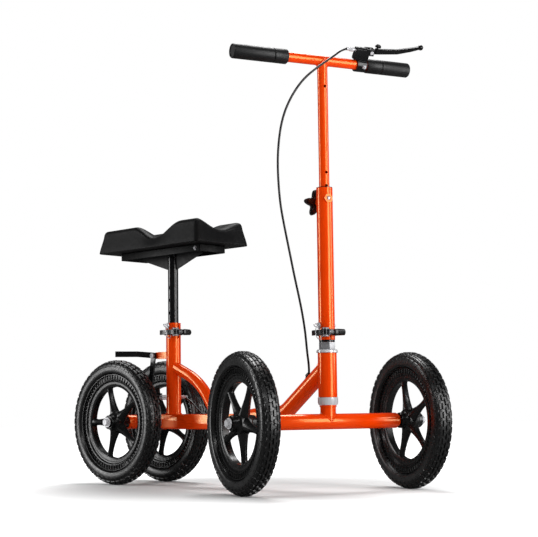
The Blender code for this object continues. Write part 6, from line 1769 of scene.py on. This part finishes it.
def hex_bolt(radius, height, shank_radius, shank):
    """Hexagon head with a chamfered crown, a washer face and a short shank below."""
    work = bmesh.new()
    work.from_mesh(rod("head", radius, 0.0, height, 6))
    crown = [edge for edge in work.edges
             if all(abs(vertex.co.z - height) < MERGE for vertex in edge.verts)]
    bmesh.ops.bevel(work, geom=crown, offset=radius * 0.14, segments=2, affect="EDGES")
    work.from_mesh(rod("washer", radius * 1.35, -BOLT_WASHER, 0.0, 32))
    work.from_mesh(rod("shank", shank_radius, -shank, -LET_IN, 16))
    return shade(made_mesh("hex_bolt", work))


def make_tray_bolts(parent):
    """Bolts through the tray into the pad's board, and a nut on its side near the front."""
    under = TRAY_TOP - TRAY_SHEET
    half = TRAY_WIDTH / 2.0 - TRAY_BOLT_FROM_SIDE
    ends = (("rear", TRAY_REAR_X + TRAY_BOLT_FROM_END), ("front", TRAY_FRONT_X - TRAY_BOLT_FROM_END))
    for end, x in ends:
        for side, y in (("right", -half), ("left", half)):
            add_extra("pad_bolt_" + end + "_" + side, hex_bolt(*PAD_BOLT), "zinc", "seat", parent,
                      (x, y, under - BOLT_WASHER), UPSIDE_DOWN)
    add_extra("tray_side_nut", hex_bolt(*SIDE_NUT), "dark_zinc", "seat", parent,
              (TRAY_FRONT_X - SIDE_NUT_FROM_FRONT, -TRAY_WIDTH / 2.0 - SIDE_NUT_OFF_TRAY,
               TRAY_BOTTOM + TRAY_DEPTH / 2.0), ON_EDGE)


def weld_bead(points, radius, seed):
    """A lumpy bead of weld along a closed line of points."""
    draw = random.Random(seed)
    swells = [1.0 + WELD_LUMP * (index % 2) + draw.uniform(-WELD_UNEVEN, WELD_UNEVEN)
              for index in range(len(points))]
    return pipe("weld", points, radius, 3, True, swells)


def saddle_points(tube_radius, around_radius, count):
    """Points where an upright tube about Z lands on a level tube along Y below it."""
    points = []
    for angle in turn_angles(count):
        x = tube_radius * math.sin(angle)
        points.append((x, tube_radius * math.cos(angle),
                       math.sqrt(max(around_radius ** 2 - x ** 2, 0.0))))
    return points


def rear_axle_seam():
    """Points where the square spine tube meets the rear axle tube."""
    corner = SPINE_SIDE / 2.0 - LET_IN
    points = []
    for angle in turn_angles(48):
        reach = min(corner / max(abs(math.cos(angle)), 0.01),
                    corner / max(abs(math.sin(angle)), 0.01), SQUARE_SEAM_CORNER)
        z = reach * math.sin(angle)
        surface = math.sqrt(max(AXLE_TUBE_RADIUS ** 2 - z ** 2, 0.0))
        points.append((max(surface, SPINE_START), reach * math.cos(angle), z))
    return points


def head_seam():
    """Points where the down tube meets the head tube."""
    path = down_tube_path()
    along = (Vector(path[-1]) - Vector(path[-2])).normalized()
    side = Vector((0.0, 1.0, 0.0))
    normal = Vector((-along.z, 0.0, along.x))
    points = []
    for angle in turn_angles(64):
        spoke = side * (TUBE_RADIUS * math.cos(angle)) + normal * (TUBE_RADIUS * math.sin(angle))
        back = math.sqrt(max((HEAD_RADIUS + SEAM_OFF_ROUND_FACE) ** 2 - spoke.y ** 2, 0.0))
        foot = Vector(path[-1]) + spoke
        points.append(foot + along * ((WHEELBASE - back - foot.x) / along.x))
    return points


def make_welds(frame_axis, steering_axis, bar_axis):
    """Weld beads where the tubes meet."""
    seat_foot = ring_points(TUBE_RADIUS + SEAM_OFF_ROUND_FACE,
                            SPINE_SIDE / 2.0 + SEAM_OFF_FLAT_FACE, 64)
    steerer_foot = saddle_points(STEM_RADIUS, AXLE_TUBE_RADIUS, 56)
    under_bar = [(x, y, -z) for x, y, z in saddle_points(INNER_COLUMN_RADIUS, BAR_RADIUS, 44)]
    spine_end = [(DOWN_TUBE_START - GAP / 2.0, y, z)
                 for y, z, _ in ring_points(TUBE_RADIUS - 0.0002, 0.0, 64)]
    under_tray = ring_points(POST_RADIUS, TRAY_TOP - TRAY_SHEET - SEAM_OFF_FLAT_FACE, 48)
    # Name, seam, thickness of the bead, body, axis and place
    beads = (("seat_tube", seat_foot, 0.0016, "frame", frame_axis, SEAT_PLACE),
             ("rear_axle", rear_axle_seam(), 0.0015, "frame", frame_axis, ORIGIN),
             ("steerer", steerer_foot, 0.0015, "steering", steering_axis, ORIGIN),
             ("bar", under_bar, 0.0026, "handlebar", bar_axis, ORIGIN),
             ("head", head_seam(), 0.0017, "frame", frame_axis, ORIGIN),
             ("spine_end", spine_end, 0.0014, "frame", frame_axis, ORIGIN),
             ("seat_post", under_tray, 0.0014, "seat", frame_axis, SEAT_PLACE))
    for seed, (name, points, radius, body, parent, place) in enumerate(beads, 1):
        finish = "black_paint" if body == "seat" else "orange_paint"
        add_extra("weld_" + name, weld_bead(points, radius, seed), finish, body, parent, place)


def make_lever_bolts(plane):
    """The two clamp screws of the lever's bracket."""
    screws = (("lever_clamp_bolt", (-0.0125, 0.096, 0.0125), (0.0, math.radians(-45.0), 0.0)),
              ("lever_clamp_bolt_low", (0.0030, 0.101, -0.0160), UPSIDE_DOWN))
    for name, place, turn in screws:
        add_extra(name, hex_bolt(*CLAMP_SCREW), "chrome", "handlebar", plane, place, turn)


def make_ferrule(frame_axis):
    """Metal end cap of the rear housing at the cable stop."""
    add_extra("stop_ferrule", turned("cap", FERRULE_SECTION, 32, True), "zinc", "frame", frame_axis,
              (STOP_REAR_X + STOP_LENGTH + GAP, CABLE_LINE_Y, CABLE_LINE_HEIGHT), ALONG_X)


# Finishes

def add_node(tree, kind, inputs=None, **settings):
    """Add a shader node with its settings and its inputs' values or feeding outputs."""
    node = tree.nodes.new("ShaderNode" + kind)
    for name, value in settings.items():
        setattr(node, name, value)
    feed(tree, node, inputs or {})
    return node


def feed(tree, node, inputs):
    """Give a node's inputs their values, or link the outputs that feed them."""
    for name, value in inputs.items():
        if isinstance(value, bpy.types.NodeSocket):
            tree.links.new(value, node.inputs[name])
        else:
            node.inputs[name].default_value = value


def new_surface(name, colour, roughness, metallic=0.0, coat=0.0, tint=0.10, tint_scale=18.0,
                rough_spread=0.05, shine=0.5, glint=(1.0, 1.0, 1.0), grain_scale=900.0,
                grain_depth=0.00002, cells=False):
    """A finish with mottled colour, uneven gloss and a fine surface grain."""
    surface = bpy.data.materials.new(name)
    surface.use_nodes = True
    tree = surface.node_tree
    place = add_node(tree, "TexCoord").outputs["Object"]

    mottle = add_node(tree, "TexNoise", {"Vector": place, "Scale": tint_scale, "Detail": 6.0})
    shades = add_node(tree, "ValToRGB", {"Fac": mottle.outputs["Fac"]})
    ends = zip(shades.color_ramp.elements, MOTTLE_RANGE, (1.0 - tint, 1.0 + tint))
    for element, position, share in ends:
        element.position = position
        element.color = (*[min(part * share, 1.0) for part in colour], 1.0)

    gloss = add_node(tree, "TexNoise", {"Vector": place, "Scale": tint_scale * 5.0, "Detail": 4.0})
    spread = add_node(tree, "MapRange", {
        "Value": gloss.outputs["Fac"], "From Min": MOTTLE_RANGE[0], "From Max": MOTTLE_RANGE[1],
        "To Min": roughness - rough_spread, "To Max": roughness + rough_spread})

    if cells:
        grain = add_node(tree, "TexVoronoi", {"Vector": place, "Scale": grain_scale},
                         feature="DISTANCE_TO_EDGE")
        height = grain.outputs["Distance"]
    else:
        grain = add_node(tree, "TexNoise", {"Vector": place, "Scale": grain_scale, "Detail": 3.0})
        height = grain.outputs["Fac"]
    relief = add_node(tree, "Bump", {"Height": height, "Strength": 1.0, "Distance": grain_depth})

    feed(tree, tree.nodes["Principled BSDF"], {
        "Base Color": shades.outputs["Color"], "Roughness": spread.outputs["Result"],
        "Normal": relief.outputs["Normal"], "Metallic": metallic, "Coat Weight": coat,
        "Coat Roughness": 0.06, "Specular IOR Level": shine, "Specular Tint": (*glint, 1.0)})
    return surface


def finished(name, mesh, finish):
    """A finished object in the walker's own frame."""
    piece = bpy.data.objects.new(name, mesh)
    bpy.context.scene.collection.objects.link(piece)
    mesh.materials.clear()
    mesh.materials.append(FINISHES[finish])
    return piece


def shade_piece(name, mesh):
    """Smooth a piece: the pad all over, a tyre but for its blocks' edges, others as metal."""
    mesh.shade_smooth()
    if name != "knee_pad":
        sharp = TYRE_SHARP_ANGLE if name.startswith("tyre_") else SHARP_ANGLE
        mesh.set_sharp_from_angle(angle=sharp)


def dull_gusset(mesh):
    """Give the seat post's gusset, and no other part of it, the dull black finish."""
    mesh.materials.append(FINISHES["dull_black"])
    for face in mesh.polygons:
        away = math.hypot(face.center.x - REAR_AXLE_X - SEAT_X, face.center.y)
        face.material_index = int(away > POST_RADIUS + GUSSET_CLEAR)


def soften_edges(look, width):
    """Round a piece's real edges a little."""
    bevel = look.modifiers.new("edges", "BEVEL")
    bevel.width = width
    bevel.segments = 2
    bevel.limit_method = "ANGLE"
    bevel.angle_limit = SHARP_ANGLE
    bevel.harden_normals = False


def settle():
    """Turn every piece into a finished mesh that rides on its body and stands for its node."""
    bpy.context.view_layer.update()
    graph = bpy.context.evaluated_depsgraph_get()
    for name, (piece, finish) in PIECES.items():
        mesh = bpy.data.meshes.new_from_object(piece.evaluated_get(graph))
        mesh.transform(piece.matrix_world)
        merge_doubles(mesh)
        shade_piece(name, mesh)
        look = finished("fine_" + name, mesh, finish)
        if name == "seat_post":
            dull_gusset(mesh)
        if name in BEVELS:
            soften_edges(look, BEVELS[name])
        if name in EXTRAS:
            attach(look, EXTRAS[name])
        elif name in ("yoke_spring", "brake_wire"):
            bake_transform(look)
        else:
            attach(look, frame["nodes"][name]["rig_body"])
        if name in frame["nodes"]:
            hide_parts(name)
    for item in list(WORK.objects):
        bpy.data.objects.remove(item, do_unlink=True)
    bpy.data.collections.remove(WORK)


# Studio

def make_floor():
    """Pale floor that keeps the walker's cast shadow, with a grey pool of painted shadow round the
    walker that runs out to white.
    """
    mesh = bpy.data.meshes.new("floor")
    reach = FLOOR_REACH
    mesh.from_pydata([(-reach, -reach, 0.0), (reach, -reach, 0.0), (reach, reach, 0.0),
                      (-reach, reach, 0.0)], [], [(0, 1, 2, 3)])
    floor = bpy.data.objects.new("floor", mesh)
    bpy.context.scene.collection.objects.link(floor)
    surface = bpy.data.materials.new("floor")
    surface.use_nodes = True
    tree = surface.node_tree
    tree.nodes.clear()
    rays = add_node(tree, "LightPath").outputs
    matt = add_node(tree, "BsdfDiffuse", {"Color": grey(FLOOR_GREY)})
    dim = add_node(tree, "BsdfDiffuse", {"Color": grey(FLOOR_GLOSS)})
    seen = add_node(tree, "MixShader", {"Fac": rays["Is Glossy Ray"], 1: matt.outputs[0],
                                        2: dim.outputs[0]})
    # The floor stays grey near the walker as a pool of painted shadow and is lifted to white further
    # out, for camera rays only
    place = add_node(tree, "TexCoord").outputs["Object"]
    away = add_node(tree, "VectorMath", {0: place}, operation="LENGTH").outputs["Value"]
    shadow_pool_fade = add_node(tree, "MapRange", {"Value": away, "From Min": FLOOR_PAINTED_SHADOW_FADE[0],
                                       "From Max": FLOOR_PAINTED_SHADOW_FADE[1]},
                    interpolation_type="SMOOTHSTEP")
    lift = add_node(tree, "Math", {0: rays["Is Camera Ray"], 1: shadow_pool_fade.outputs["Result"]},
                    operation="MULTIPLY")
    glow = add_node(tree, "Emission", {"Color": grey(1.0), "Strength": lift.outputs[0]})
    both = add_node(tree, "AddShader", {0: seen.outputs[0], 1: glow.outputs[0]})
    add_node(tree, "OutputMaterial", {"Surface": both.outputs[0]})
    mesh.materials.append(surface)


def grey(level):
    """An even grey as a node's colour."""
    return (level, level, level, 1.0)


def make_world():
    """Even pale light, white to the camera and dimmer in glossy surfaces."""
    world = bpy.data.worlds.new("studio")
    bpy.context.scene.world = world
    world.use_nodes = True
    tree = world.node_tree
    tree.nodes.clear()
    rays = add_node(tree, "LightPath").outputs
    seen, lighting, glossy = [
        add_node(tree, "Background", {"Color": grey(1.0), "Strength": strength}).outputs[0]
        for strength in (1.0, WORLD_LIGHT, WORLD_GLOSS)]
    unseen = add_node(tree, "MixShader", {"Fac": rays["Is Glossy Ray"], 1: lighting, 2: glossy})
    mix = add_node(tree, "MixShader", {"Fac": rays["Is Camera Ray"], 1: unseen.outputs[0], 2: seen})
    add_node(tree, "OutputWorld", {"Surface": mix.outputs[0]})


def add_lamp(name, azimuth, height, distance, size, power):
    """A soft box turned to the walker, its azimuth in degrees from +X."""
    lamp = bpy.data.lights.new(name, "AREA")
    lamp.shape = "RECTANGLE"
    lamp.size, lamp.size_y = size
    lamp.energy = power
    holder = bpy.data.objects.new(name, lamp)
    bpy.context.scene.collection.objects.link(holder)
    angle = math.radians(azimuth)
    place = Vector((distance * math.cos(angle), distance * math.sin(angle), height))
    holder.location = place
    holder.rotation_euler = (Vector(LAMP_AIM) - place).to_track_quat("-Z", "Y").to_euler()


def make_walker():
    """Build every piece in its place."""
    frame_axis = new_empty("frame_axis", None, (REAR_AXLE_X, 0.0, WHEEL_RADIUS))
    steering_axis = new_empty("steering_axis", frame_axis, HEAD_PLACE, (0.0, 0.0, REST_STEER))
    bar_axis = new_empty("bar_axis", steering_axis, (0.0, 0.0, BAR_HEIGHT))
    make_spine(frame_axis)
    add_axle_tube("rear_axle_tube", REAR_TRACK, REAR_AXLE_END_ROUND, frame_axis)
    make_seat_tube(frame_axis)
    make_brace(frame_axis)
    make_down_tube(frame_axis)
    make_head(frame_axis)
    make_brake_bracket(frame_axis)
    make_cable_stop(frame_axis)
    make_cable_clip(frame_axis)
    make_clamp("seat", frame_axis, (SEAT_X, 0.0, SEAT_TUBE_TOP - SEAT_CLAMP_BELOW_TOP))
    make_pin("seat_pin", frame_axis, (SEAT_X, 0.0, SEAT_PIN_HEIGHT))
    make_seat_post(frame_axis)
    make_pad_tray(frame_axis)
    make_knee_pad(frame_axis)
    make_steering(steering_axis)
    make_column(steering_axis)
    make_handlebar(bar_axis)
    lever_plane = make_lever_set(bar_axis)
    make_yoke(frame_axis)
    make_wire_and_spring(frame_axis)
    make_wheels(frame_axis, steering_axis)
    for side, word in ((1.0, "left"), (-1.0, "right")):
        make_axle_bolt("rear_axle_bolt_" + word, frame_axis, REAR_TRACK, side)
        make_axle_bolt("front_axle_bolt_" + word, steering_axis, FRONT_TRACK, side)
    make_pin_rings(frame_axis, steering_axis)
    make_tray_bolts(frame_axis)
    make_welds(frame_axis, steering_axis, bar_axis)
    make_lever_bolts(lever_plane)
    make_ferrule(frame_axis)
    settle()
    make_cables()


FINISHES = {name: new_surface(name, **look) for name, look in LOOKS.items()}
bpy.context.scene.view_settings.view_transform = "Standard"
place_camera()
make_walker()
make_floor()
make_world()
for lamp in LAMPS:
    add_lamp(*lamp)
